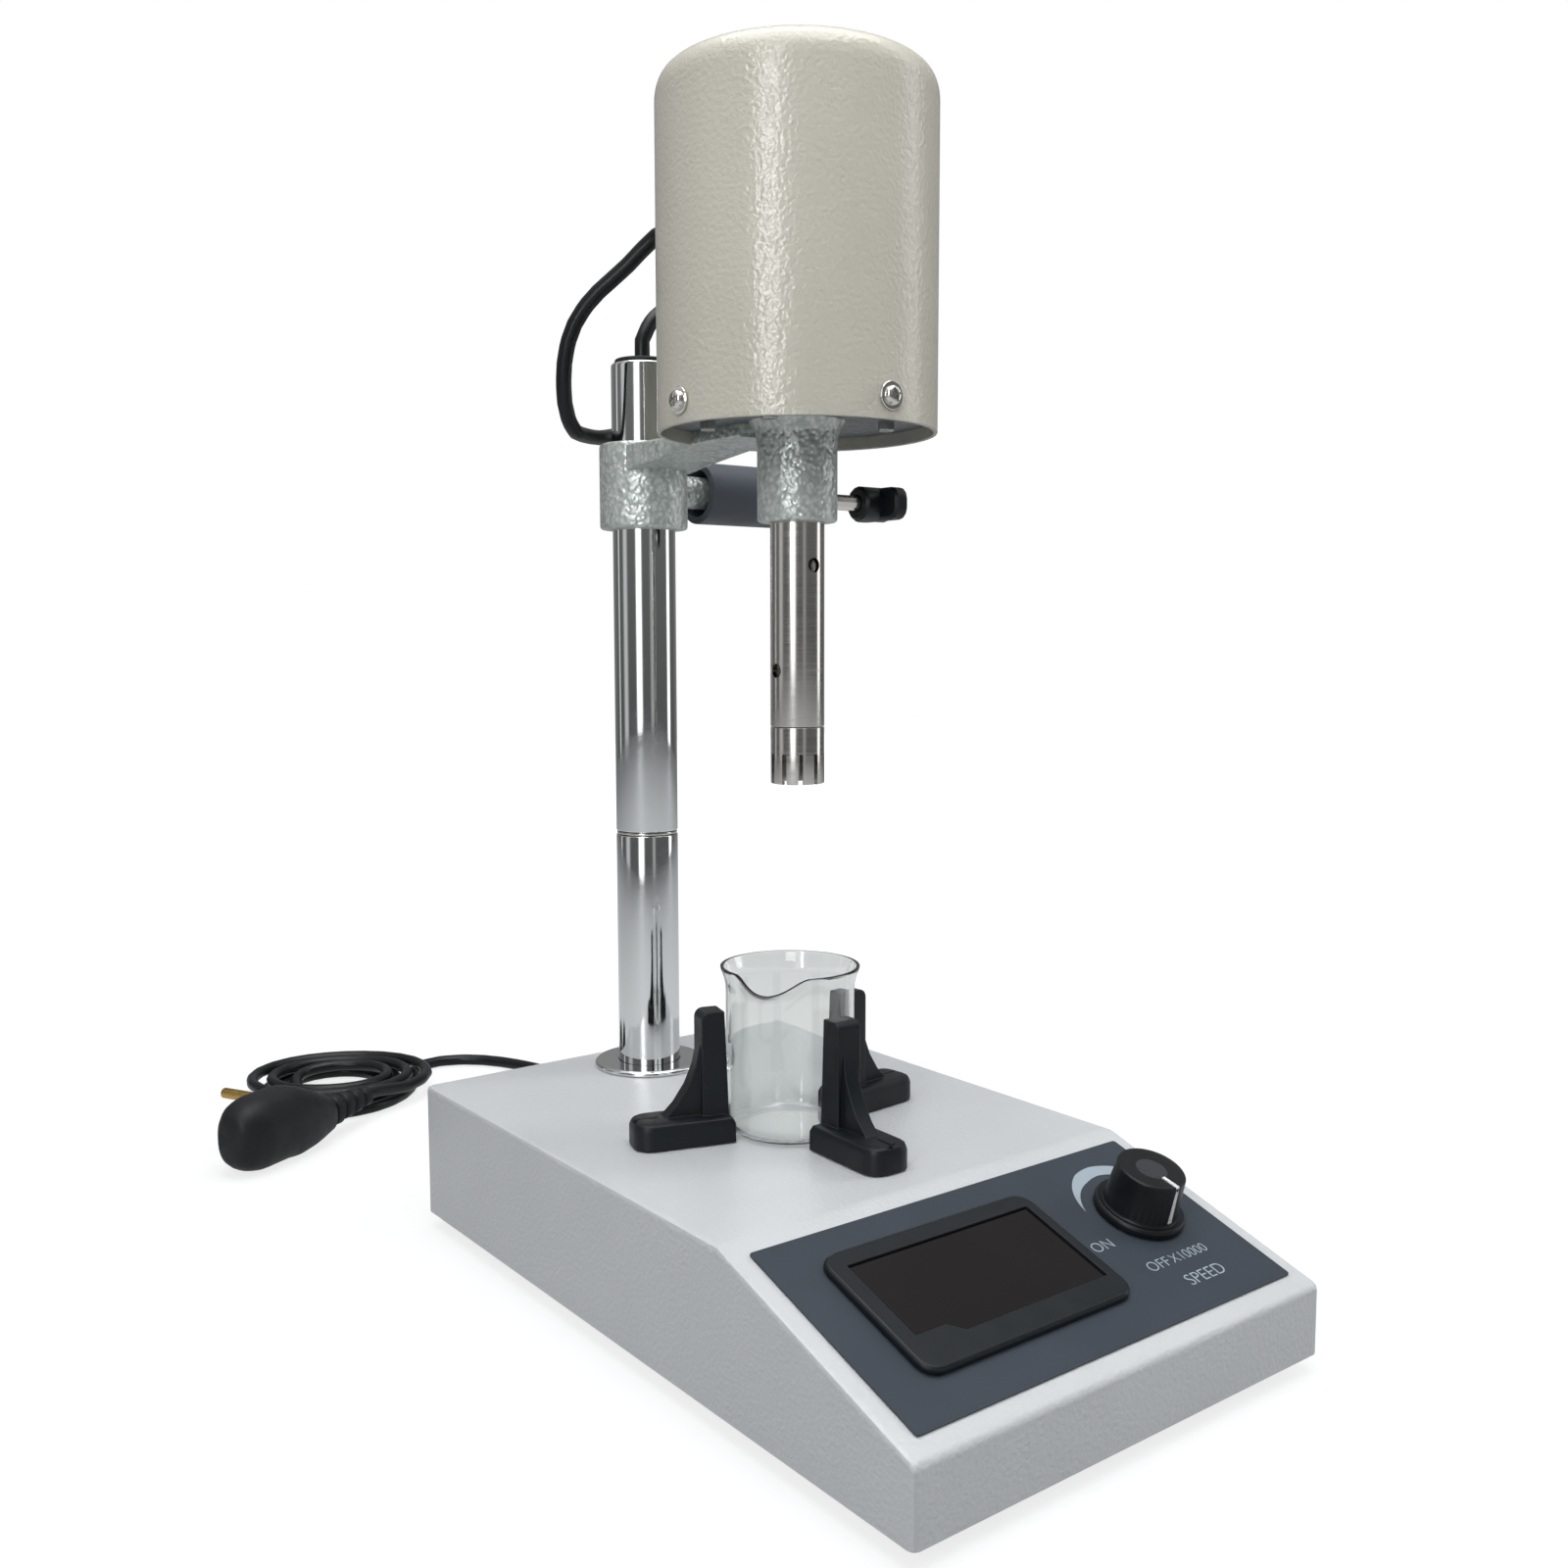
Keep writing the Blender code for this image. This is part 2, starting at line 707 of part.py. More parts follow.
def foot_places():
    """Return where the four feet stand."""
    x, y = BASE_WIDTH / 2 - FOOT_INSET, BASE_DEPTH / 2 - FOOT_INSET
    return [(-x, -y), (x, -y), (x, y), (-x, y)]


def stand_places():
    """Return where the control board's stands rise."""
    x, y = BOARD_WIDTH / 2 - STAND_INSET, BOARD_DEPTH / 2 - STAND_INSET
    return [(side * x, BOARD_Y + end * y) for side in (-1, 1) for end in (-1, 1)]


def base_plate(looks):
    """Make the bottom plate with its vents and the stands of the control board."""
    plate_top = BASE_FLOOR + PLATE_THICKNESS
    plate = piece("base_plate", block(INNER_WIDTH - 2 * CLEAR, INNER_DEPTH - 2 * CLEAR, BASE_FLOOR,
                                      plate_top), looks["zinc"])
    stand = [(0, BASE_FLOOR + PLATE_THICKNESS / 2), (STAND_RADIUS, BASE_FLOOR + PLATE_THICKNESS / 2),
             (STAND_RADIUS, plate_top + BOARD_STAND), (STAND_PIN_RADIUS, plate_top + BOARD_STAND),
             (STAND_PIN_RADIUS, plate_top + BOARD_STAND + STAND_PIN_RISE),
             (0, plate_top + BOARD_STAND + STAND_PIN_RISE)]
    add(plate, together([moved(turned(stand, TINY_SIDES), x, y) for x, y in stand_places()]))
    low, high = BASE_FLOOR - OVERRUN, plate_top + OVERRUN
    first = -VENT_PITCH * (VENTS_PER_ROW - 1) / 2
    vents = [block(VENT_WIDTH, VENT_LENGTH, low, high, first + VENT_PITCH * number, row * VENT_ROW_Y)
             for row in (-1, 1) for number in range(VENTS_PER_ROW)]
    cut(plate, together(vents))
    cut(plate, together([moved(rod(FOOT_STEM_RADIUS + CLEAR, low, high, TINY_SIDES), x, y)
                         for x, y in foot_places()]))


def feet(looks):
    """Make the push-in feet, whose barbs clamp the plate to the return flange."""
    top = BASE_FLOOR - CLEAR
    seat = RETURN_TOP + CLEAR
    profile = [(0, 0), (FOOT_RADIUS, 0), (FOOT_TOP_RADIUS, top), (FOOT_STEM_RADIUS, top),
               (FOOT_STEM_RADIUS, seat), (FOOT_BARB_RADIUS, seat),
               (FOOT_STEM_RADIUS, seat + FOOT_BARB_HEIGHT), (0, seat + FOOT_BARB_HEIGHT)]
    for number, (x, y) in enumerate(foot_places(), 1):
        piece(f"foot_{number}", turned(profile, TINY_SIDES), looks["rubber"], (x, y, 0))


def window_outline(growth):
    """Return the display window, whose lower left part stops short of the rest."""
    left = BEZEL_X - BEZEL_WIDTH / 2 + WINDOW_LEFT_MARGIN
    right = BEZEL_X + BEZEL_WIDTH / 2 - WINDOW_RIGHT_MARGIN
    top = BEZEL_UP + BEZEL_HEIGHT / 2 - WINDOW_TOP_MARGIN
    low = BEZEL_UP - BEZEL_HEIGHT / 2 + WINDOW_LOW_MARGIN
    step = left + WINDOW_STEP_IN
    outline = [(right, low), (right, top), (left, top), (left, low + WINDOW_STEP_RISE),
               (step - WINDOW_STEP_RISE, low + WINDOW_STEP_RISE), (step, low)]
    return offset(outline, growth)


def display(looks, panel):
    """Make the display's frame, its smoked window and its board."""
    top = PANEL_SEAT + BEZEL_RISE
    pocket = top - WINDOW_RECESS - WINDOW_THICKNESS - CLEAR
    frame = prism(rounded(BEZEL_WIDTH, BEZEL_HEIGHT, BEZEL_CORNER, 4, BEZEL_X, BEZEL_UP), PANEL_SEAT, top)
    soften(frame, BEZEL_EDGE, 1, lambda edge: at_height(edge, top))
    bezel = piece("display_bezel", frame, looks["black_plastic"], parent=panel)
    add(bezel, prism(bezel_body(0), -BEZEL_DEPTH, PANEL_SEAT + BEZEL_RISE / 3))
    cut(bezel, prism(window_outline(CLEAR), pocket, top + OVERRUN))
    cut(bezel, prism(window_outline(-WINDOW_LEDGE), -BEZEL_DEPTH - OVERRUN, pocket + CLEAR))
    window = prism(window_outline(0), pocket + CLEAR, top - WINDOW_RECESS)
    piece("display_window", window, looks["smoked_acrylic"], parent=panel)
    back = -BEZEL_DEPTH - CLEAR
    board = piece("display_board", prism(bezel_body(0), back - BOARD_THICKNESS, back), looks["board"],
                  parent=panel)
    add(board, prism(window_outline(-WINDOW_LEDGE - CLEAR), back - BOARD_THICKNESS / 2, pocket - CLEAR))


def panel_overlay(looks, panel):
    """Make the printed film on the slope."""
    width, height = BASE_WIDTH - 2 * OVERLAY_MARGIN, SLOPE_LENGTH - 2 * OVERLAY_MARGIN
    film = prism(rounded(width, height, OVERLAY_CORNER, 2, 0, SLOPE_LENGTH / 2), CLEAR, OVERLAY_TOP)
    overlay = piece("panel_overlay", film, looks["slate_film"], parent=panel)
    cut(overlay, panel_holes(OVERLAY_TOP + OVERRUN, 0))


def potentiometer(looks, dial):
    """Make the speed control's body, its nut and its shaft."""
    body_top = -SHEET - CLEAR
    bush_top = POT_BUSH_RISE
    hollow = POT_SHAFT_RADIUS + CLEAR
    profile = [(0, body_top - POT_DEPTH), (POT_RADIUS, body_top - POT_DEPTH), (POT_RADIUS, body_top),
               (POT_BUSH_RADIUS, body_top), (POT_BUSH_RADIUS, bush_top), (hollow, bush_top),
               (hollow, body_top - POT_DEPTH / 2), (0, body_top - POT_DEPTH / 2)]
    body = piece("potentiometer", turned(profile, SMALL_SIDES), looks["zinc"], parent=dial)
    tabs = [block(POT_TAB_WIDTH, POT_TAB_LENGTH, body_top - 2 * POT_TAB_THICKNESS,
                  body_top - POT_TAB_THICKNESS, side * 2 * POT_TAB_WIDTH, -POT_RADIUS)
            for side in (-1, 0, 1)]
    add(body, together(tabs))
    nut = piece("potentiometer_nut", prism(hexagon(POT_NUT_ACROSS), PANEL_SEAT,
                                           PANEL_SEAT + POT_NUT_THICKNESS), looks["zinc"], parent=dial)
    cut(nut, rod(POT_BUSH_RADIUS + CLEAR, PANEL_SEAT - OVERRUN,
                 PANEL_SEAT + POT_NUT_THICKNESS + OVERRUN))
    shaft = rod(POT_SHAFT_RADIUS, body_top - POT_DEPTH / 2 + CLEAR, POT_SHAFT_REACH)
    piece("potentiometer_shaft", shaft, looks["steel"], parent=dial)


def pointer_outline(growth):
    """Return the pointer's angled section, from the middle of the top down the side."""
    top = KNOB_HEIGHT - KNOB_DISH / 2
    foot = KNOB_SKIRT_HEIGHT + KNOB_EDGE
    inner = POINTER_DEPTH + growth
    return [(-KNOB_FOOT_RADIUS - growth, foot - growth), (-KNOB_FOOT_RADIUS + inner, foot - growth),
            (-KNOB_TOP_RADIUS + inner, top - inner), (-POINTER_START + growth, top - inner),
            (-POINTER_START + growth, top + growth), (-KNOB_TOP_RADIUS - growth, top + growth)]


def speed_knob(looks, dial):
    """Make the knob with its skirt ring, dished top and inlaid pointer."""
    skirt, foot, top = KNOB_SKIRT_RADIUS, KNOB_FOOT_RADIUS, KNOB_TOP_RADIUS
    high, edge = KNOB_SKIRT_HEIGHT, KNOB_EDGE
    bore = POT_SHAFT_RADIUS + CLEAR
    bore_end = POT_SHAFT_REACH - PANEL_SEAT + CLEAR
    profile = [(KNOB_CAVITY_RADIUS, 0), (skirt, 0), (skirt, high - 2 * edge), (skirt - 2 * edge, high),
               (foot + edge, high - edge), (foot, high), (top, KNOB_HEIGHT - edge),
               (top - edge, KNOB_HEIGHT), (top - 2 * edge, KNOB_HEIGHT),
               (top - 4 * edge, KNOB_HEIGHT - KNOB_DISH),
               (0, KNOB_HEIGHT - KNOB_DISH), (0, bore_end), (bore, bore_end), (bore, KNOB_CAVITY_DEPTH),
               (KNOB_CAVITY_RADIUS, KNOB_CAVITY_DEPTH)]
    start = profile.index((0, bore_end))
    profile = profile[start:] + profile[:start]
    knob = piece("speed_knob", turned(profile, ROUND_SIDES), looks["black_plastic"], (0, 0, PANEL_SEAT),
                 parent=dial)
    half = POINTER_WIDTH / 2 + CLEAR
    cut(knob, along_x(prism(pointer_outline(CLEAR), -half, half)))
    half = POINTER_WIDTH / 2
    piece("knob_pointer", along_x(prism(pointer_outline(0), -half, half)), looks["white_mark"],
          (0, 0, PANEL_SEAT), parent=dial)


def control_board(looks):
    """Make the speed controller's board with its main components."""
    low = BASE_FLOOR + PLATE_THICKNESS + BOARD_STAND + CLEAR
    high = low + BOARD_THICKNESS
    sunk = low + BOARD_THICKNESS / 2
    board = piece("control_board", block(BOARD_WIDTH, BOARD_DEPTH, low, high, 0, BOARD_Y), looks["board"])
    cut(board, together([moved(rod(STAND_PIN_RADIUS + CLEAR, low - OVERRUN, high + OVERRUN, TINY_SIDES), x, y)
                         for x, y in stand_places()]))
    add(board, moved(rod(CHOKE_RADIUS, sunk, high + CHOKE_HEIGHT), -BOARD_WIDTH / 4, BOARD_Y))
    for side, (width, depth, height) in ((0, HEATSINK_SIZE), (1, TERMINAL_SIZE)):
        add(board, block(width, depth, sunk, high + height, side * BOARD_WIDTH / 4,
                         BOARD_Y + (1 - 2 * side) * BOARD_DEPTH / 5))


def cord_gland(looks):
    """Make the moulded strain relief with its ribbed tail."""
    face = CLEAR + GLAND_FLANGE
    profile = [(0, -SHEET - 2 * GLAND_FLANGE), (GLAND_NECK_RADIUS, -SHEET - 2 * GLAND_FLANGE),
               (GLAND_BARB_RADIUS, -SHEET - CLEAR), (GLAND_NECK_RADIUS, -SHEET - CLEAR),
               (GLAND_NECK_RADIUS, CLEAR), (GLAND_FLANGE_RADIUS, CLEAR), (GLAND_FLANGE_RADIUS, face)]
    pitch = GLAND_TAIL / GLAND_RIBS
    for rib in range(GLAND_RIBS):
        share = rib / GLAND_RIBS
        radius = GLAND_TAIL_RADIUS + (GLAND_TIP_RADIUS - GLAND_TAIL_RADIUS) * share
        start = face + pitch * rib
        profile += [(radius - GLAND_RIB_DEPTH, start), (radius - GLAND_RIB_DEPTH, start + pitch / 3),
                    (radius, start + pitch / 3), (radius, start + pitch)]
    profile.append((0, face + GLAND_TAIL))
    piece("cord_gland", along_y(turned(profile, TINY_SIDES)), looks["rubber"], (GLAND_X, BACK, GLAND_Z))


def base(looks):
    """Make everything in and on the housing, apart from the column and the jaws."""
    base_shell(looks)
    base_plate(looks)
    feet(looks)
    control_board(looks)
    cord_gland(looks)
    panel = empty("panel_frame", (0, FRONT, BASE_FLOOR + LIP_HEIGHT), (SLOPE_ANGLE, 0, 0))
    dial = empty("dial_axis", (KNOB_X, KNOB_UP, 0), parent=panel)
    panel_overlay(looks, panel)
    display(looks, panel)
    potentiometer(looks, dial)
    speed_knob(looks, dial)


def column(looks):
    """Make the two column sections, the spigot between them and what holds and closes them."""
    seat = BASE_TOP + CLEAR
    stub_low = BASE_TOP - STUB_LENGTH
    bore_end = BASE_TOP + STUB_SHOULDER
    top = SEAM_Z - SEAM_RING / 2 - CLEAR
    place = (0, COLUMN_Y, 0)
    lower = [(STUB_BORE, stub_low), (STUB_RADIUS, stub_low), (STUB_RADIUS, seat), (COLUMN_RADIUS, seat),
             (COLUMN_RADIUS, top), (COLUMN_BORE, top), (COLUMN_BORE, bore_end), (STUB_BORE, bore_end)]
    piece("column_lower", turned(lower, ROUND_SIDES), looks["chrome"], place)
    low = SEAM_Z + SEAM_RING / 2 + CLEAR
    upper = [(COLUMN_BORE, low), (COLUMN_RADIUS, low), (COLUMN_RADIUS, COLUMN_TOP - COLUMN_EDGE),
             (COLUMN_RADIUS - COLUMN_EDGE, COLUMN_TOP), (COLUMN_BORE, COLUMN_TOP)]
    piece("column_upper", turned(upper, ROUND_SIDES), looks["chrome"], place)
    spigot = COLUMN_BORE - CLEAR
    half = SEAM_RING / 2
    ringed = [(SPIGOT_BORE, SEAM_Z - SPIGOT_REACH), (spigot, SEAM_Z - SPIGOT_REACH), (spigot, SEAM_Z - half),
              (SEAM_RING_RADIUS, SEAM_Z - half), (SEAM_RING_RADIUS, SEAM_Z + half), (spigot, SEAM_Z + half),
              (spigot, SEAM_Z + SPIGOT_REACH), (SPIGOT_BORE, SEAM_Z + SPIGOT_REACH)]
    piece("column_spigot", turned(ringed, SMALL_SIDES), looks["steel"], place)
    bore = COLUMN_RADIUS + CLEAR
    high = seat + FLANGE_THICKNESS
    flange = [(bore, seat), (FLANGE_RADIUS, seat), (FLANGE_RADIUS, high - FLANGE_EDGE),
              (FLANGE_RADIUS - FLANGE_EDGE, high), (bore, high)]
    piece("column_flange", turned(flange, ROUND_SIDES), looks["chrome"], place)
    under = BASE_TOP - SHEET - CLEAR
    nut = piece("column_nut", prism(hexagon(COLUMN_NUT_ACROSS), under - COLUMN_NUT_THICKNESS, under),
                looks["zinc"], place)
    cut(nut, rod(STUB_RADIUS + CLEAR, under - COLUMN_NUT_THICKNESS - OVERRUN, under + OVERRUN, ROUND_SIDES))
    hole = LEAD_RADIUS + CLEAR
    lip = COLUMN_TOP + CLEAR
    grommet = [(hole, COLUMN_TOP - GROMMET_DEPTH), (spigot, COLUMN_TOP - GROMMET_DEPTH), (spigot, lip),
               (GROMMET_LIP_RADIUS, lip), (GROMMET_LIP_RADIUS - GROMMET_LIP / 2, lip + GROMMET_LIP),
               (hole, lip + GROMMET_LIP)]
    piece("column_grommet", turned(grommet, SMALL_SIDES), looks["rubber"], place)


def casting_bores(casting):
    """Cut the column bore, the stepped tool bore and the screw holes of the casting."""
    low, high = TOOL_COLLAR_LOW - OVERRUN, PLATE_TOP + OVERRUN
    column_bore = rod(COLUMN_RADIUS + CLEAR, low, high, ROUND_SIDES)
    tool_bore = rod(TOOL_RADIUS + CLEAR, low, TOOL_TOP + CLEAR, ROUND_SIDES)
    coupling_bore = rod(COUPLING_WAY, TOOL_TOP, REGISTER_LOW + CLEAR, ROUND_SIDES)
    register = rod(REGISTER_RADIUS + CLEAR, REGISTER_LOW, high, ROUND_SIDES)
    cut(casting, moved(half_step(column_bore), 0, COLUMN_Y))
    for bore in (tool_bore, coupling_bore, register):
        cut(casting, moved(half_step(bore), 0, DRIVE_Y))
    clamp = along_x(rod(CLAMP_SCREW_RADIUS + CLEAR, TOOL_RADIUS / 2,
                      TOOL_COLLAR_RADIUS + OVERRUN, TINY_SIDES))
    lock = along_x(rod(LOCK_STUD_RADIUS + CLEAR, COLUMN_RADIUS / 2, LOCK_BOSS_END + OVERRUN, TINY_SIDES))
    cut(casting, together([moved(clamp, 0, DRIVE_Y, CLAMP_Z), moved(lock, 0, COLUMN_Y, LOCK_Z)]))
    cut(casting, cover_screw_holes(PLATE_RADIUS - COVER_SCREW_LENGTH, COVER_RADIUS))


def cover_screw_holes(start, stop):
    """Return the radial cutters of the three cover screws."""
    holes = []
    for turn in COVER_SCREW_TURNS:
        hole = along_x(rod(COVER_SCREW_RADIUS + CLEAR, start, stop, TINY_SIDES))
        holes.append(moved(swung(hole, math.radians(turn)), 0, DRIVE_Y, COVER_SCREW_Z))
    return together(holes)


def arm_casting(looks, head):
    """Make the casting: the column collar, the arm, the tool collar and the motor plate."""
    edge = CASTING_EDGE
    top = ARM_TOP + edge
    collar = [(0, COLLAR_LOW), (COLLAR_RADIUS - edge, COLLAR_LOW), (COLLAR_RADIUS, COLLAR_LOW + edge),
              (COLLAR_RADIUS, top - edge), (COLLAR_RADIUS - edge, top), (0, top)]
    casting = piece("arm_casting", moved(turned(collar, ROUND_SIDES), 0, COLUMN_Y), looks["casting"],
                    parent=head)
    side = [(DRIVE_Y, ARM_LOW_FRONT), (DRIVE_Y + ARM_KNEE_BEHIND, ARM_LOW_FRONT),
            (COLUMN_Y - ARM_KNEE_AHEAD, ARM_LOW_BACK),
            (COLUMN_Y, ARM_LOW_BACK), (COLUMN_Y, ARM_TOP), (DRIVE_Y, ARM_TOP)]
    bar = along_x(prism(side, -ARM_HALF_WIDTH, ARM_HALF_WIDTH))
    soften(bar, edge, 1, lambda edge: abs(edge.verts[0].co.x - edge.verts[1].co.x) < WELD)
    add(casting, bar)
    add(casting, moved(rod(PLATE_RADIUS, PLATE_LOW, PLATE_TOP, BIG_SIDES), 0, DRIVE_Y))
    nose = [(0, TOOL_COLLAR_LOW), (TOOL_COLLAR_RADIUS - edge, TOOL_COLLAR_LOW),
            (TOOL_COLLAR_RADIUS, TOOL_COLLAR_LOW + edge), (TOOL_COLLAR_RADIUS, PLATE_LOW + edge),
            (0, PLATE_LOW + edge)]
    add(casting, moved(turned(nose, ROUND_SIDES), 0, DRIVE_Y))
    boss = along_x(rod(LOCK_BOSS_RADIUS, COLUMN_RADIUS + edge, LOCK_BOSS_END))
    add(casting, moved(boss, 0, COLUMN_Y, LOCK_Z))
    casting_bores(casting)


def cover_profile():
    """Return the half section of the deep drawn cover."""
    outer, inner, fillet = COVER_RADIUS, COVER_RADIUS - COVER_WALL, COVER_FILLET
    crown = arc(outer - fillet, COVER_TOP - fillet, fillet, 0, 90, 4)
    under = arc(outer - fillet, COVER_TOP - fillet, fillet - COVER_WALL, 90, 0, 3)
    return [(0, COVER_TOP - COVER_WALL)] + under + [(inner, COVER_LOW), (outer, COVER_LOW)] + crown + [
        (0, COVER_TOP)]


def motor_cover(looks, head):
    """Make the round cover with its arm notch, screw holes and cable hole."""
    cover = piece("motor_cover", moved(turned(cover_profile(), BIG_SIDES), 0, DRIVE_Y),
                  looks["cream_paint"], parent=head)
    notch = block(2 * (ARM_HALF_WIDTH + CLEAR), COVER_RADIUS, COVER_LOW - OVERRUN, ARM_TOP + CLEAR)
    cut(cover, moved(notch, 0, DRIVE_Y + COVER_RADIUS))
    cut(cover, cover_screw_holes(COVER_RADIUS - 3 * COVER_WALL, COVER_RADIUS + OVERRUN))
    start = COVER_RADIUS - COVER_WALL - OVERRUN
    hole = along_x(rod(CABLE_HOLE_RADIUS, start, COVER_RADIUS + OVERRUN, SMALL_SIDES))
    cut(cover, moved(swung(hole, math.radians(CABLE_HOLE_TURN)), 0, DRIVE_Y, CABLE_HOLE_Z))


def cover_fittings(looks, head):
    """Make the cover's screws with their captive washers, and the cable's grommet."""
    seat = COVER_RADIUS + CLEAR
    washer = seat + COVER_SCREW_RADIUS / 2
    tip = PLATE_RADIUS - COVER_SCREW_LENGTH + CLEAR
    high = washer + COVER_SCREW_RADIUS
    profile = [(0, tip), (COVER_SCREW_RADIUS, tip), (COVER_SCREW_RADIUS, seat), (COVER_SCREW_WASHER, seat),
               (COVER_SCREW_WASHER, washer), (COVER_SCREW_HEAD, washer), (COVER_SCREW_HEAD, high),
               (COVER_SCREW_HEAD / 2, high + COVER_SCREW_RADIUS / 2), (0, high + COVER_SCREW_RADIUS / 2)]
    for number, turn in enumerate(COVER_SCREW_TURNS, 1):
        screw = swung(along_x(turned(profile, TINY_SIDES)), math.radians(turn))
        piece(f"cover_screw_{number}", moved(screw, 0, DRIVE_Y, COVER_SCREW_Z), looks["steel"], parent=head)
    hole, neck = CABLE_RADIUS + CLEAR, CABLE_HOLE_RADIUS - CLEAR
    flare = CABLE_HOLE_RADIUS + GROMMET_LIP
    inner = COVER_RADIUS - COVER_WALL - GROMMET_LIP
    grommet = [(hole, inner - GROMMET_LIP), (neck, inner - GROMMET_LIP),
               (neck, seat + CLEAR), (flare, seat + CLEAR),
               (flare, seat + GROMMET_LIP), (neck, seat + 2 * GROMMET_LIP), (hole, seat + 2 * GROMMET_LIP)]
    turn = math.radians(CABLE_HOLE_TURN)
    piece("cable_grommet", moved(swung(along_x(turned(grommet, SMALL_SIDES)), turn), 0, DRIVE_Y,
                                        CABLE_HOLE_Z),
          looks["rubber"], parent=head)


def motor_frame(looks, head):
    """Make the end bells, the field core with its two poles, and the brush holders."""
    place = (0, DRIVE_Y, 0)
    outer, inner = BELL_RADIUS, BELL_RADIUS - BELL_WALL
    low, seat = PLATE_TOP + CLEAR, BEARING_RADIUS + CLEAR
    hub, way = seat + BELL_WALL, SHAFT_RADIUS + 3 * CLEAR
    shoulder = low + BEARING_WIDTH / 2
    floor = low + BELL_WALL
    rim = shoulder + CLEAR + BEARING_WIDTH
    cup = [(way, REGISTER_LOW + CLEAR), (REGISTER_RADIUS, REGISTER_LOW + CLEAR), (REGISTER_RADIUS, low),
           (outer, low), (outer, LOWER_BELL_TOP), (inner, LOWER_BELL_TOP), (inner, floor), (hub, floor),
           (hub, rim), (seat, rim), (seat, shoulder), (way, shoulder)]
    lower = piece("lower_end_bell", turned(cup, SMALL_SIDES), looks["zinc"], place, parent=head)
    windows = block(BELL_RADIUS, 3 * BELL_RADIUS, FAN_LOW, FAN_LOW + FAN_HEIGHT)
    cut(lower, windows)
    bearing("lower_bearing", shoulder + CLEAR, looks, head)
    core_low = LOWER_BELL_TOP + CLEAR
    gap = ARMATURE_RADIUS + 2 * CLEAR
    core = piece("stator_core", sleeve(outer, outer - CORE_WALL / 2, core_low, CORE_TOP, SMALL_SIDES),
                 looks["zinc"], place, parent=head)
    for start in (40, 220):
        pole = arc(0, 0, outer - CORE_WALL / 3, start, start + 100, 5) + arc(0, 0, gap, start + 100, start, 5)
        add(core, prism(pole, core_low + CLEAR, CORE_TOP - CLEAR))
    base_of = CORE_TOP + CLEAR
    top = UPPER_BELL_TOP
    stop = top - BELL_WALL / 3
    cap = [(inner, base_of), (outer, base_of), (outer, top), (way, top), (way, stop), (seat, stop),
           (seat, stop - BEARING_WIDTH - CLEAR), (hub, stop - BEARING_WIDTH - CLEAR), (hub, top - BELL_WALL),
           (inner, top - BELL_WALL)]
    upper = piece("upper_end_bell", turned(cap, SMALL_SIDES), looks["zinc"], place, parent=head)
    middle = (COMMUTATOR_LOW + COMMUTATOR_TOP) / 2
    low, high = middle - BRUSH_HEIGHT / 2, middle + BRUSH_HEIGHT / 2
    cut(upper, block(3 * BELL_RADIUS, BRUSH_WIDTH + 2 * CLEAR, low - CLEAR, high + CLEAR))
    bearing("upper_bearing", stop - CLEAR - BEARING_WIDTH, looks, head)
    reach = BELL_RADIUS + BELL_WALL - COMMUTATOR_RADIUS - CLEAR
    for number, side in enumerate((-1, 1), 1):
        holder = block(reach, BRUSH_WIDTH, low, high, side * (COMMUTATOR_RADIUS + CLEAR + reach / 2))
        piece(f"brush_holder_{number}", holder, looks["brass"], place, parent=head)


def bearing(name, low, looks, head):
    """Make a motor bearing."""
    shape = sleeve(BEARING_RADIUS, SHAFT_RADIUS + CLEAR, low, low + BEARING_WIDTH, SMALL_SIDES)
    piece(name, shape, looks["steel"], (0, DRIVE_Y, 0), parent=head)


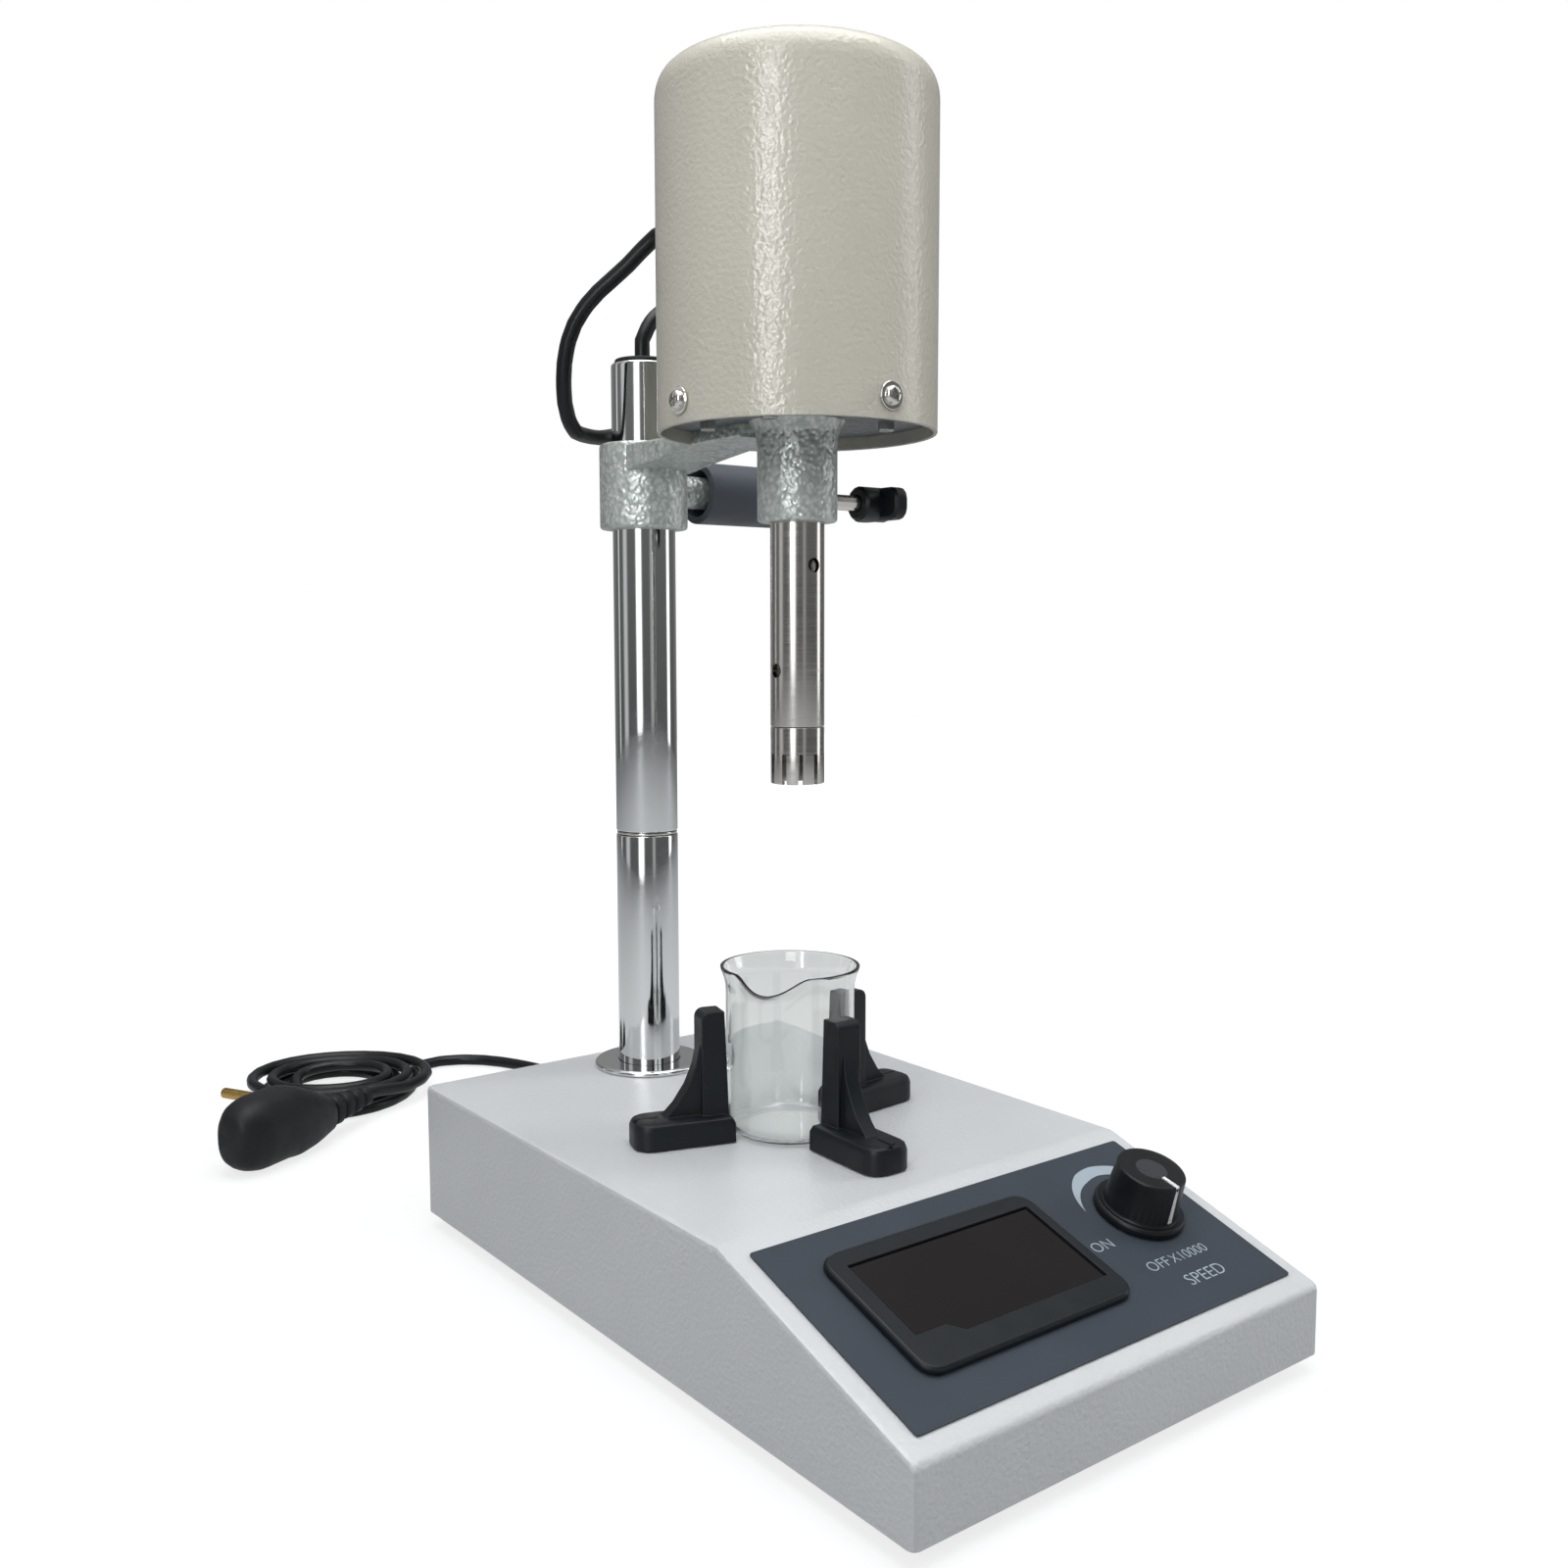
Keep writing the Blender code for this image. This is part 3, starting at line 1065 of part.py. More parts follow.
def armature(looks, drive):
    """Make the armature with its slots and commutator, and the cooling fan."""
    end = COUPLING_WEB_TOP + CLEAR
    wind = COMMUTATOR_LOW - ARMATURE_TOP - CLEAR
    coil = (ARMATURE_RADIUS + COMMUTATOR_RADIUS) / 2
    profile = [(0, end), (SHAFT_RADIUS, end),
               (SHAFT_RADIUS, ARMATURE_LOW - wind), (coil, ARMATURE_LOW - wind),
               (coil, ARMATURE_LOW), (ARMATURE_RADIUS, ARMATURE_LOW), (ARMATURE_RADIUS, ARMATURE_TOP),
               (coil, ARMATURE_TOP), (coil, ARMATURE_TOP + wind), (SHAFT_RADIUS, ARMATURE_TOP + wind),
               (SHAFT_RADIUS, COMMUTATOR_LOW), (COMMUTATOR_RADIUS, COMMUTATOR_LOW),
               (COMMUTATOR_RADIUS, COMMUTATOR_TOP), (SHAFT_RADIUS, COMMUTATOR_TOP), (SHAFT_RADIUS, SHAFT_TOP),
               (0, SHAFT_TOP)]
    rotor = piece("armature", turned(profile, SMALL_SIDES), looks["steel"], parent=drive)
    slots = []
    for number in range(ARMATURE_SLOTS):
        slot = block(2 * ARMATURE_SLOT, ARMATURE_SLOT, ARMATURE_LOW - CLEAR,
                     ARMATURE_TOP + CLEAR, ARMATURE_RADIUS)
        slots.append(swung(slot, math.tau * (number + 1 / 2) / ARMATURE_SLOTS))
    cut(rotor, together(slots))
    hole = SHAFT_RADIUS + CLEAR
    disc, high = FAN_LOW + FAN_DISC, FAN_LOW + FAN_HEIGHT
    wheel = [(hole, FAN_LOW), (FAN_RADIUS, FAN_LOW), (FAN_RADIUS, disc), (FAN_HUB, disc), (FAN_HUB, high),
             (hole, high)]
    fan = piece("cooling_fan", turned(wheel, SMALL_SIDES), looks["black_plastic"], parent=drive)
    span = FAN_RADIUS - FAN_HUB
    blades = [swung(block(span, FAN_BLADE, FAN_LOW + FAN_DISC / 2, high - FAN_BLADE,
                           FAN_HUB + span / 2 - FAN_BLADE),
                    math.tau * number / FAN_BLADES) for number in range(FAN_BLADES)]
    add(fan, together(blades))


def tool(looks, head, drive):
    """Make the stator tube, its slotted head, its bush, the inner shaft and the coupling."""
    place = (0, DRIVE_Y, 0)
    tube = piece("generator_tube", sleeve(TOOL_RADIUS, TOOL_BORE, TOOL_JOINT + CLEAR, TOOL_TOP),
                 looks["steel"], place, parent=head)
    reach = TOOL_RADIUS + OVERRUN
    front = moved(along_y(rod(TOOL_HOLE_RADIUS, -reach, reach, TINY_SIDES)), 0, 0, TOOL_HOLE_HIGH)
    left = moved(along_x(rod(TOOL_HOLE_RADIUS, -reach, reach, TINY_SIDES)), 0, 0, TOOL_HOLE_LOW)
    cut(tube, together([front, left]))
    edge = (TOOL_RADIUS - TOOL_BORE) / 3
    rim = [(TOOL_BORE, TOOL_LOW), (TOOL_RADIUS - edge, TOOL_LOW), (TOOL_RADIUS, TOOL_LOW + 2 * edge),
           (TOOL_RADIUS, TOOL_JOINT), (TOOL_BORE, TOOL_JOINT)]
    stator = piece("generator_head", turned(rim, ROUND_SIDES), looks["steel"], place, parent=head)
    middle = (TOOL_RADIUS + TOOL_BORE) / 2
    slots = []
    for number in range(TOOL_SLOTS):
        slot = block(TOOL_RADIUS / 2, TOOL_SLOT_WIDTH, TOOL_LOW - OVERRUN, TOOL_SLOT_TOP, middle)
        slots.append(swung(slot, math.radians(TOOL_SLOT_TURN) + math.tau * number / TOOL_SLOTS))
    cut(stator, together(slots))
    piece("generator_bush", sleeve(TOOL_BORE - CLEAR, TOOL_SHAFT_RADIUS + CLEAR,
                                   BUSH_LOW, BUSH_HIGH, SMALL_SIDES),
          looks["fluoropolymer"], place, parent=head)
    shaft = piece("generator_shaft", rod(TOOL_SHAFT_RADIUS, KNIFE_LOW - CLEAR, COUPLING_WEB_LOW - CLEAR),
                  looks["steel"], parent=drive)
    for number in range(KNIVES):
        knife = block(2 * KNIFE_REACH, KNIFE_THICKNESS, KNIFE_LOW, KNIFE_HIGH)
        add(shaft, swung(knife, math.pi * number / KNIVES))
    above, below = SHAFT_RADIUS + CLEAR, TOOL_SHAFT_RADIUS + CLEAR
    profile = [(0, COUPLING_WEB_LOW), (below, COUPLING_WEB_LOW), (below, COUPLING_LOW),
               (COUPLING_RADIUS, COUPLING_LOW),
               (COUPLING_RADIUS, COUPLING_TOP), (above, COUPLING_TOP), (above, COUPLING_WEB_TOP),
               (0, COUPLING_WEB_TOP)]
    piece("drive_coupling", turned(profile, SMALL_SIDES), looks["steel"], parent=drive)


def lock_knob(looks, head):
    """Make the grey knob that locks the casting to the column, moulded on its stud."""
    axis = empty("column_lock_axis", (0, COLUMN_Y, LOCK_Z), parent=head)
    start, end, edge = LOCK_KNOB_START, LOCK_KNOB_END, LOCK_KNOB_EDGE
    hollow = LOCK_BOSS_RADIUS + 2 * edge
    web = start + LOCK_KNOB_HOLLOW
    tip = COLUMN_RADIUS + CLEAR
    profile = [(0, tip), (LOCK_STUD_RADIUS, tip), (LOCK_STUD_RADIUS, web), (hollow, web), (hollow, start),
               (LOCK_KNOB_RADIUS - edge / 2, start), (LOCK_KNOB_RADIUS, start + edge / 2),
               (LOCK_KNOB_RADIUS, end - edge), (LOCK_KNOB_RADIUS - edge, end), (0, end)]
    piece("lock_knob", along_x(turned(profile, ROUND_SIDES)), looks["grey_plastic"], parent=axis)


def wing_knob(looks, head):
    """Make the black wing knob and the screw that clamps the tool in its collar."""
    axis = empty("tool_clamp_axis", (0, DRIVE_Y, CLAMP_Z), parent=head)
    tip = TOOL_RADIUS + CLEAR
    end = (WING_START + WING_END) / 2
    screw = rod(CLAMP_SCREW_RADIUS, tip, end, TINY_SIDES)
    piece("generator_lock_screw", along_x(screw), looks["steel"], parent=axis)
    edge = WING_EDGE
    bore, stop = CLAMP_SCREW_RADIUS + CLEAR, end + CLEAR
    hub = [(0, stop), (bore, stop), (bore, WING_START), (WING_HUB_RADIUS - edge, WING_START),
           (WING_HUB_RADIUS, WING_START + edge), (WING_HUB_RADIUS, WING_END - edge),
           (WING_HUB_RADIUS - edge, WING_END), (0, WING_END)]
    wing = piece("wing_knob", along_x(turned(hub, SMALL_SIDES)), looks["black_plastic"], parent=axis)
    middle = (stop + WING_END) / 2
    plan = rounded(2 * WING_SPAN, WING_HEIGHT, WING_TIP_RADIUS, 3)
    blade = soften(prism(plan, middle - WING_THICKNESS / 2, middle + WING_THICKNESS / 2), edge, 1,
                   lambda edge: abs(edge.verts[0].co.z - edge.verts[1].co.z) < WELD)
    add(wing, along_x(blade))
    cut(wing, along_x(rod(bore, WING_START - OVERRUN, stop, TINY_SIDES)))


def jaw_heading(jaw):
    """Return the way a jaw opens."""
    return math.radians(JAWS[jaw])


def jaw_start(jaw):
    """Return where a closed jaw's inner end stands."""
    reach = BEAKER_RADIUS + CLEAR
    heading = jaw_heading(jaw)
    return BEAKER_X + reach * math.cos(heading), BEAKER_Y + reach * math.sin(heading)


def jaw_sides():
    """Return the side views of a jaw's upright and of its curved rib."""
    inner, outer = JAW_POST_INNER, JAW_POST_INNER + JAW_POST_DEPTH
    top, edge = JAW_HEIGHT, JAW_POST_EDGE
    post = [(inner - JAW_POST_DRAFT, JAW_FOOT_EDGE), (outer, JAW_FOOT_EDGE)]
    post += arc(outer - edge, top - edge, edge, 0, 90, 4) + [(inner, top)]
    foot = JAW_FOOT_HEIGHT - JAW_FOOT_EDGE / 2
    start = Vector((outer, JAW_RIB_TOP))
    end = Vector((JAW_RIB_REACH, foot))
    across = (end - start).normalized()
    inward = Vector((across.y, -across.x))
    rib = [(outer - edge, foot), tuple(end)]
    for step in range(1, 4):
        share = step / 4
        sag = JAW_RIB_SAG * 4 * share * (1 - share)
        rib.append(tuple(end.lerp(start, share) + inward * sag))
    return post, rib + [tuple(start), (outer - edge, JAW_RIB_TOP)]


def jaws(looks):
    """Make the three jaws and the screws that guide them in the slots."""
    quarter = math.pi / 2
    for jaw in JAWS:
        x, y = jaw_start(jaw)
        turn = (0, 0, jaw_heading(jaw))
        half = JAW_WIDTH / 2
        nose = JAW_NOSE_RADIUS
        plan = [(0, -half)] + arc(JAW_LENGTH - nose, -half + nose, nose, -90, 0, 4)
        plan += arc(JAW_LENGTH - nose, half - nose, nose, 0, 90, 4) + [(0, half)]
        foot = prism(plan, 0, JAW_FOOT_HEIGHT)
        soften(foot, JAW_FOOT_EDGE, 2, lambda edge: at_height(edge, JAW_FOOT_HEIGHT))
        body = piece(f"jaw_{jaw}", foot, looks["black_plastic"], (x, y, BASE_TOP + CLEAR), turn)
        post, rib = jaw_sides()
        for outline, width in ((post, JAW_POST_WIDTH), (rib, JAW_RIB_WIDTH)):
            add(body, swung(prism(outline, -width / 2, width / 2), quarter, "X"))
        groove = block(JAW_LENGTH, JAW_GROOVE, JAW_FOOT_HEIGHT - JAW_GROOVE, JAW_HEIGHT,
                       JAW_RIB_REACH + JAW_GROOVE + JAW_LENGTH / 2)
        hole = moved(rod(JAW_SCREW_RADIUS + CLEAR, -OVERRUN, JAW_SCREW_DEPTH, TINY_SIDES), JAW_SCREW_PLACE)
        cut(body, together([groove, hole]))
        seat = -CLEAR - SHEET - CLEAR
        washer = seat - JAW_SCREW_HEAD_HEIGHT / 3
        low = washer - JAW_SCREW_HEAD_HEIGHT
        profile = [(0, low), (JAW_SCREW_HEAD, low), (JAW_SCREW_HEAD, washer), (JAW_SCREW_WASHER, washer),
                   (JAW_SCREW_WASHER, seat), (JAW_SCREW_RADIUS, seat),
                   (JAW_SCREW_RADIUS, JAW_SCREW_DEPTH - CLEAR),
                   (0, JAW_SCREW_DEPTH - CLEAR)]
        screw = piece(f"jaw_screw_{jaw}", moved(turned(profile, TINY_SIDES), JAW_SCREW_PLACE), looks["zinc"])
        screw.parent = body


def beaker_profile():
    """Return the half section of the beaker's wall."""
    outer, inner = BEAKER_RADIUS, BEAKER_RADIUS - BEAKER_WALL
    corner, top, wall = BEAKER_CORNER, BEAKER_HEIGHT, BEAKER_WALL
    flare = BEAKER_RIM_RADIUS - BEAKER_RADIUS
    neck = top - BEAKER_RIM_RISE
    outside = arc(outer - corner, corner, corner, -90, 0, 3)
    outside += [(outer, top - SPOUT_DEPTH), (outer, neck), (outer + flare / 3, top - BEAKER_RIM_RISE / 3),
                (outer + flare, top - wall / 2)]
    inside = [(outer + flare - wall / 2, top), (inner + flare / 3, top - BEAKER_RIM_RISE / 3), (inner, neck),
              (inner, top - SPOUT_DEPTH)]
    inside += arc(outer - corner, corner, corner - wall, 0, -90, 3)
    return [(0, 0)] + outside + inside + [(0, wall)]


def beaker(looks):
    """Make the beaker, with its spout drawn out of the rim."""
    glass = turned(beaker_profile(), ROUND_SIDES)
    for vert in glass.verts:
        bearing_angle = math.degrees(math.atan2(vert.co.y, vert.co.x)) - SPOUT_TURN
        away = abs((bearing_angle + 180) % 360 - 180)
        lift = (vert.co.z - BEAKER_HEIGHT + SPOUT_DEPTH) / SPOUT_DEPTH
        if away < SPOUT_SPREAD and lift > 0:
            share = lift * lift * math.cos(math.pi / 2 * away / SPOUT_SPREAD) ** 2
            reach = math.hypot(vert.co.x, vert.co.y)
            vert.co.x *= (reach + SPOUT_REACH * share) / reach
            vert.co.y *= (reach + SPOUT_REACH * share) / reach
            vert.co.z -= SPOUT_DROP * share
    piece("beaker", glass, looks["glass"], (BEAKER_X, BEAKER_Y, BASE_TOP + CLEAR))


def smooth(points, spacing):
    """Return even points along a smooth curve whose first and last stretches stay straight."""
    through = [Vector(point) for point in points]
    fine = []
    for a, b, c, d in zip(through, through[1:], through[2:], through[3:]):
        for step in range(20):
            t = step / 20
            fine.append(((2 * b) + (c - a) * t + (2 * a - 5 * b + 4 * c - d) * t * t
                         + (3 * b - a - 3 * c + d) * t * t * t) / 2)
    fine.append(through[-2])
    return [through[0]] + spaced(fine, spacing) + [through[-1]]


def spaced(fine, spacing):
    """Return points at even steps along a chain of points, with both ends kept."""
    lengths = [0.0]
    for a, b in zip(fine, fine[1:]):
        lengths.append(lengths[-1] + (b - a).length)
    count = max(2, round(lengths[-1] / spacing))
    result = []
    index = 0
    for step in range(count + 1):
        target = lengths[-1] * step / count
        while index < len(fine) - 2 and lengths[index + 1] < target:
            index += 1
        span = lengths[index + 1] - lengths[index]
        result.append(fine[index].lerp(fine[index + 1], (target - lengths[index]) / span))
    return result


def tube(name, points, radius, resolution, look, parent=None):
    """Make a round tube along points."""
    curve = bpy.data.curves.new(name, "CURVE")
    curve.dimensions = "3D"
    curve.bevel_depth = radius
    curve.bevel_resolution = resolution
    curve.use_fill_caps = True
    spline = curve.splines.new("POLY")
    spline.points.add(len(points) - 1)
    for target, point in zip(spline.points, points):
        target.co = (*point, 1.0)
    curve.materials.append(look)
    made = bpy.data.objects.new(name, curve)
    bpy.context.scene.collection.objects.link(made)
    made.parent = parent
    return made


def column_lead(looks):
    """Make the lead that runs down inside the column to the control board."""
    top = COLUMN_TOP - GROMMET_DEPTH / 2
    inside = [(x, COLUMN_Y - ahead, z) for x, ahead, z in LEAD_ROUTE]
    route = [(0, COLUMN_Y, top), (0, COLUMN_Y, BASE_TOP), *inside]
    tube("column_lead", smooth(route, 2.5 * LEAD_RADIUS), LEAD_RADIUS, 2, looks["cord_jacket"])


def motor_cable(looks, head):
    """Make the cable that hangs from the cover and dips into the top of the column."""
    turn = math.radians(CABLE_HOLE_TURN)
    outward = Vector((math.cos(turn), math.sin(turn), 0))
    axis = Vector((0, DRIVE_Y, CABLE_HOLE_Z))
    start = axis + outward * (COVER_RADIUS - 4 * COVER_WALL)
    leave = axis + outward * (COVER_RADIUS + 4 * COVER_WALL)
    top = COLUMN_TOP - GROMMET_DEPTH / 2 + CLEAR
    hung = [(x, DRIVE_Y + share * (COLUMN_Y - DRIVE_Y), z)
            for (x, z), share in zip(CABLE_ROUTE, CABLE_BACK_SHARES)]
    route = [start, leave, *hung, (0, COLUMN_Y, top + 4 * CABLE_RADIUS), (0, COLUMN_Y, top)]
    tube("motor_cable", smooth(route, 2.5 * CABLE_RADIUS), CABLE_RADIUS, 2, looks["cord_jacket"], head)


def coil_points():
    """Return the points of the coil: in along the bench, up a layer, and out again."""
    total = math.tau * COIL_TURNS
    middle = total / 2
    points = []
    count = round(COIL_TURNS * 24)
    for step in range(count + 1):
        wound = total * step / count
        depth = middle - abs(wound - middle)
        climb = min(max((wound - middle) / math.pi + 1 / 2, 0), 1)
        climb = climb * climb * (3 - 2 * climb)
        turn = math.radians(COIL_START) - wound
        oval = math.radians(COIL_OVAL_TURN) + climb * math.radians(COIL_OVAL_TWIST)
        radius = ((COIL_RADIUS - COIL_PITCH * depth / math.tau)
                  * (1 + COIL_OVAL_SHARE * math.cos(2 * (turn - oval))))
        height = CORD_RADIUS + CLEAR + climb * COIL_LAYER
        points.append(Vector((COIL_X + radius * math.cos(turn), COIL_Y + radius * math.sin(turn), height)))
    return points


def least_gap(points, radius):
    """Return the smallest gap between stretches of a tube that are not neighbours."""
    fine = spaced(points, radius)
    apart = math.ceil(6 * radius / (fine[1] - fine[0]).length)
    best = min((first - second).length for index, first in enumerate(fine) for second in fine[index + apart:])
    return best - 2 * radius


def mains_cord(looks):
    """Make the cord's run across the bench, its coil and the plug."""
    wound = coil_points()
    inlet = (wound[0] - wound[1]).normalized()
    join = wound[0] + inlet * 2 * CORD_RADIUS
    axis = Vector((math.cos(math.radians(PLUG_TURN)), math.sin(math.radians(PLUG_TURN)), 0))
    tip = Vector((PLUG_X, PLUG_Y, PLUG_TIP_Z))
    tail = smooth([wound[-2], wound[-1], tip - axis * 2 * CORD_RADIUS, tip - axis * CLEAR], 2 * CORD_RADIUS)
    coil = [join] + wound + tail[2:]
    tube("mains_cord_coil", coil, CORD_RADIUS, 1, looks["cord_jacket"])
    exit_y = BACK + CLEAR + GLAND_FLANGE + GLAND_TAIL + CLEAR
    route = [(GLAND_X, exit_y, GLAND_Z), *CORD_ROUTE, join + inlet * (2 * CORD_RADIUS + CLEAR),
             join + inlet * CLEAR]
    run = smooth(route, 2 * 2 * CORD_RADIUS)
    tube("mains_cord", run, CORD_RADIUS, 2, looks["cord_jacket"])
    length = sum((b - a).length for chain in (run, coil) for a, b in zip(chain, chain[1:]))
    print(f"cord length {length:.3f} m, least gap in the coil {1000 * least_gap(coil, CORD_RADIUS):.2f} mm")


def lofted(sections, sides):
    """Join oval sections of station, half width, half height and centre height along X."""
    shape = bmesh.new()
    rings = []
    for station, across, up, centre in sections:
        rings.append([shape.verts.new((station, y, centre + z)) for y, z in superellipse(across, up, sides)])
    for first, second in zip(rings, rings[1:]):
        for index in range(sides):
            after = (index + 1) % sides
            shape.faces.new((first[index], first[after], second[after], second[index]))
    shape.faces.new(rings[0])
    shape.faces.new(list(reversed(rings[-1])))
    bmesh.ops.recalc_face_normals(shape, faces=shape.faces)
    return shape


def superellipse(across, up, sides):
    """Return a softly squared oval."""
    points = []
    for step in range(sides):
        turn = math.tau * (step + 1 / 2) / sides
        y, z = math.cos(turn), math.sin(turn)
        points.append((across * math.copysign(abs(y) ** PLUG_SQUARE_SHARE, y),
                       up * math.copysign(abs(z) ** PLUG_SQUARE_SHARE, z)))
    return points


def plug(looks):
    """Make the angled mains plug, with its ribbed relief and its two pins."""
    pitch = PLUG_RELIEF / PLUG_RIBS
    land, fall, groove = PLUG_RIB_SHARES
    tip_z = PLUG_TIP_Z
    sections = []
    for rib in range(PLUG_RIBS):
        share = rib / PLUG_RIBS
        radius = PLUG_TIP_RADIUS + (PLUG_NECK_RADIUS - PLUG_TIP_RADIUS) * share
        low = radius - PLUG_RIB_DEPTH
        start = rib * pitch
        sections += [(start, radius, radius, tip_z), (start + land * pitch, radius, radius, tip_z),
                     (start + fall * pitch, low, low, tip_z), (start + groove * pitch, low, low, tip_z)]
    middle = PLUG_HEIGHT / 2 + CLEAR
    for along, across, up in PLUG_BODY_SHARES:
        half_up = up * PLUG_HEIGHT / 2
        sections.append((PLUG_RELIEF + along * PLUG_BODY, across * PLUG_DEPTH / 2, half_up,
                         tip_z + (middle - tip_z) * min(1, 2 * along)))
    turn = (0, 0, math.radians(PLUG_TURN))
    place = (PLUG_X, PLUG_Y, 0)
    body = piece("mains_plug", lofted(sections, TINY_SIDES), looks["rubber"], place, turn)
    station = PLUG_RELIEF + PLUG_BODY / 2
    sunk = PLUG_DEPTH / 2 - PIN_SUNK
    holes = []
    for number, side in enumerate((-1, 1), 1):
        height = middle + side * PIN_SPACING / 2
        hole = along_y(rod(PIN_RADIUS + CLEAR, -PLUG_DEPTH, -sunk, TINY_SIDES))
        holes.append(moved(hole, station, 0, height))
        pin = along_y(rod(PIN_RADIUS, -PLUG_DEPTH / 2 - PIN_LENGTH, -sunk - CLEAR, TINY_SIDES))
        piece(f"plug_pin_{number}", moved(pin, station, 0, height), looks["brass"], place, turn)
    cut(body, together(holes))


def main():
    """Build the homogenizer."""
    clear_scene()
    looks = finishes()
    base(looks)
    column(looks)
    column_lead(looks)
    head = empty("head_frame")
    drive = empty("drive_axis", (0, DRIVE_Y, 0), parent=head)
    arm_casting(looks, head)
    motor_cover(looks, head)
    cover_fittings(looks, head)
    motor_frame(looks, head)
    armature(looks, drive)
    tool(looks, head, drive)
    lock_knob(looks, head)
    wing_knob(looks, head)
    motor_cable(looks, head)
    jaws(looks)
    beaker(looks)
    mains_cord(looks)
    plug(looks)


main()
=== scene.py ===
"""Dress the laboratory homogenizer and set it in a pale studio.

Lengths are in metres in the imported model's frame: X across the front, -Y out of the front, Z up.
"""

import json
import math

import bmesh
import bpy
import numpy as np
from mathutils import Matrix


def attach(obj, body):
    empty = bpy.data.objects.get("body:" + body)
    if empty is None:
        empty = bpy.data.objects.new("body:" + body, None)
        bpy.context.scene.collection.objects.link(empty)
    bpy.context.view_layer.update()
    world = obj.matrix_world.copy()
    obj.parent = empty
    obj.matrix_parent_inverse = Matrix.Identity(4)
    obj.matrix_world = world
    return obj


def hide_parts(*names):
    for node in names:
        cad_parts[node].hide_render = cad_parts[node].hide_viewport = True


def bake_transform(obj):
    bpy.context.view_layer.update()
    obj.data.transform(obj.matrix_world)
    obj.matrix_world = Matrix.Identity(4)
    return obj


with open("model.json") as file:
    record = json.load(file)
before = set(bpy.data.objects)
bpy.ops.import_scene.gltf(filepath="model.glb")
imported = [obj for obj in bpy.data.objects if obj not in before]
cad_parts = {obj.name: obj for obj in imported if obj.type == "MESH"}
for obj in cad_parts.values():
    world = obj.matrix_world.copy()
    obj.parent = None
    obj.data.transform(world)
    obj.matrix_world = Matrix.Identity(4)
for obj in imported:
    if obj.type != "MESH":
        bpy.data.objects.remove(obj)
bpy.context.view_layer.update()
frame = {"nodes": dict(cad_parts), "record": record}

MM = 0.001

# Places that the pieces share with the CAD model
BASE_TOP = 0.0572
FRONT_Y = -0.143
BACK_Y = 0.143
LIP_Z = 0.029
SLOPE = math.atan2(0.0282, 0.0855)
COLUMN = (0.0, 0.115)
DRIVE = (0.0, 0.015)
KNOB_PLACE = (0.055, 0.050)
PANEL_SEAT = 0.0011
BEAKER = (-0.005, 0.013)
CLEAR = 0.0003


def linear(code):
    """Turn an sRGB hex value into a linear colour."""
    part = np.array([int(code[i:i + 2], 16) for i in (1, 3, 5)]) / 255
    part = np.where(part <= 0.04045, part / 12.92, ((part + 0.055) / 1.055) ** 2.4)
    return (*part.tolist(), 1.0)


def put(tree, kind, settings=None, values=None, links=None):
    """Add a node with its settings, its socket values and its links."""
    made = tree.nodes.new(kind)
    for name, value in (settings or {}).items():
        setattr(made, name, value)
    for socket, value in (values or {}).items():
        made.inputs[socket].default_value = value
    for socket, source in (links or {}).items():
        tree.links.new(source, made.inputs[socket])
    return made


def finish(name, code, roughness, metallic=0.0, **sockets):
    """Start a material from its colour, roughness and other plain socket values."""
    made = bpy.data.materials.new(name)
    made.use_nodes = True
    shader = made.node_tree.nodes["Principled BSDF"]
    shader.inputs["Base Color"].default_value = linear(code)
    shader.inputs["Roughness"].default_value = roughness
    shader.inputs["Metallic"].default_value = metallic
    for socket, value in sockets.items():
        shader.inputs[socket.replace("_", " ")].default_value = value
    return made


def pattern(made, size, detail=2.0, stretch=(1, 1, 1), kind="ShaderNodeTexNoise", **settings):
    """Return a pattern on Object coordinates whose grains are about size metres across."""
    tree = made.node_tree
    where = put(tree, "ShaderNodeTexCoord")
    turned_to = put(tree, "ShaderNodeMapping", values={"Scale": stretch},
                    links={"Vector": where.outputs["Object"]})
    values = {"Scale": 1 / size}
    if kind == "ShaderNodeTexNoise":
        values["Detail"] = detail
    return put(tree, kind, settings, values, {"Vector": turned_to.outputs["Vector"]}).outputs[0]


def relief(made, *layers):
    """Bump the surface with patterns, each with its height in metres, one upon the other."""
    tree = made.node_tree
    normal = None
    for height, source in layers:
        links = {"Height": source}
        if normal:
            links["Normal"] = normal
        normal = put(tree, "ShaderNodeBump", values={"Distance": height}, links=links).outputs["Normal"]
    tree.links.new(normal, tree.nodes["Principled BSDF"].inputs["Normal"])


def tint(made, source, *stops):
    """Colour the surface by a pattern, with stops of place and hex colour."""
    tree = made.node_tree
    ramp = put(tree, "ShaderNodeValToRGB", links={"Fac": source})
    while len(ramp.color_ramp.elements) < len(stops):
        ramp.color_ramp.elements.new(0.5)
    for element, (place, code) in zip(ramp.color_ramp.elements, stops):
        element.position = place
        element.color = linear(code)
    tree.links.new(ramp.outputs["Color"], tree.nodes["Principled BSDF"].inputs["Base Color"])


def polish(made, source, low, high):
    """Vary the roughness between two values by a pattern."""
    tree = made.node_tree
    span = put(tree, "ShaderNodeMapRange", values={"From Min": 0.3, "From Max": 0.7, "To Min": low, "To Max": high},
               links={"Value": source})
    tree.links.new(span.outputs[0], tree.nodes["Principled BSDF"].inputs["Roughness"])


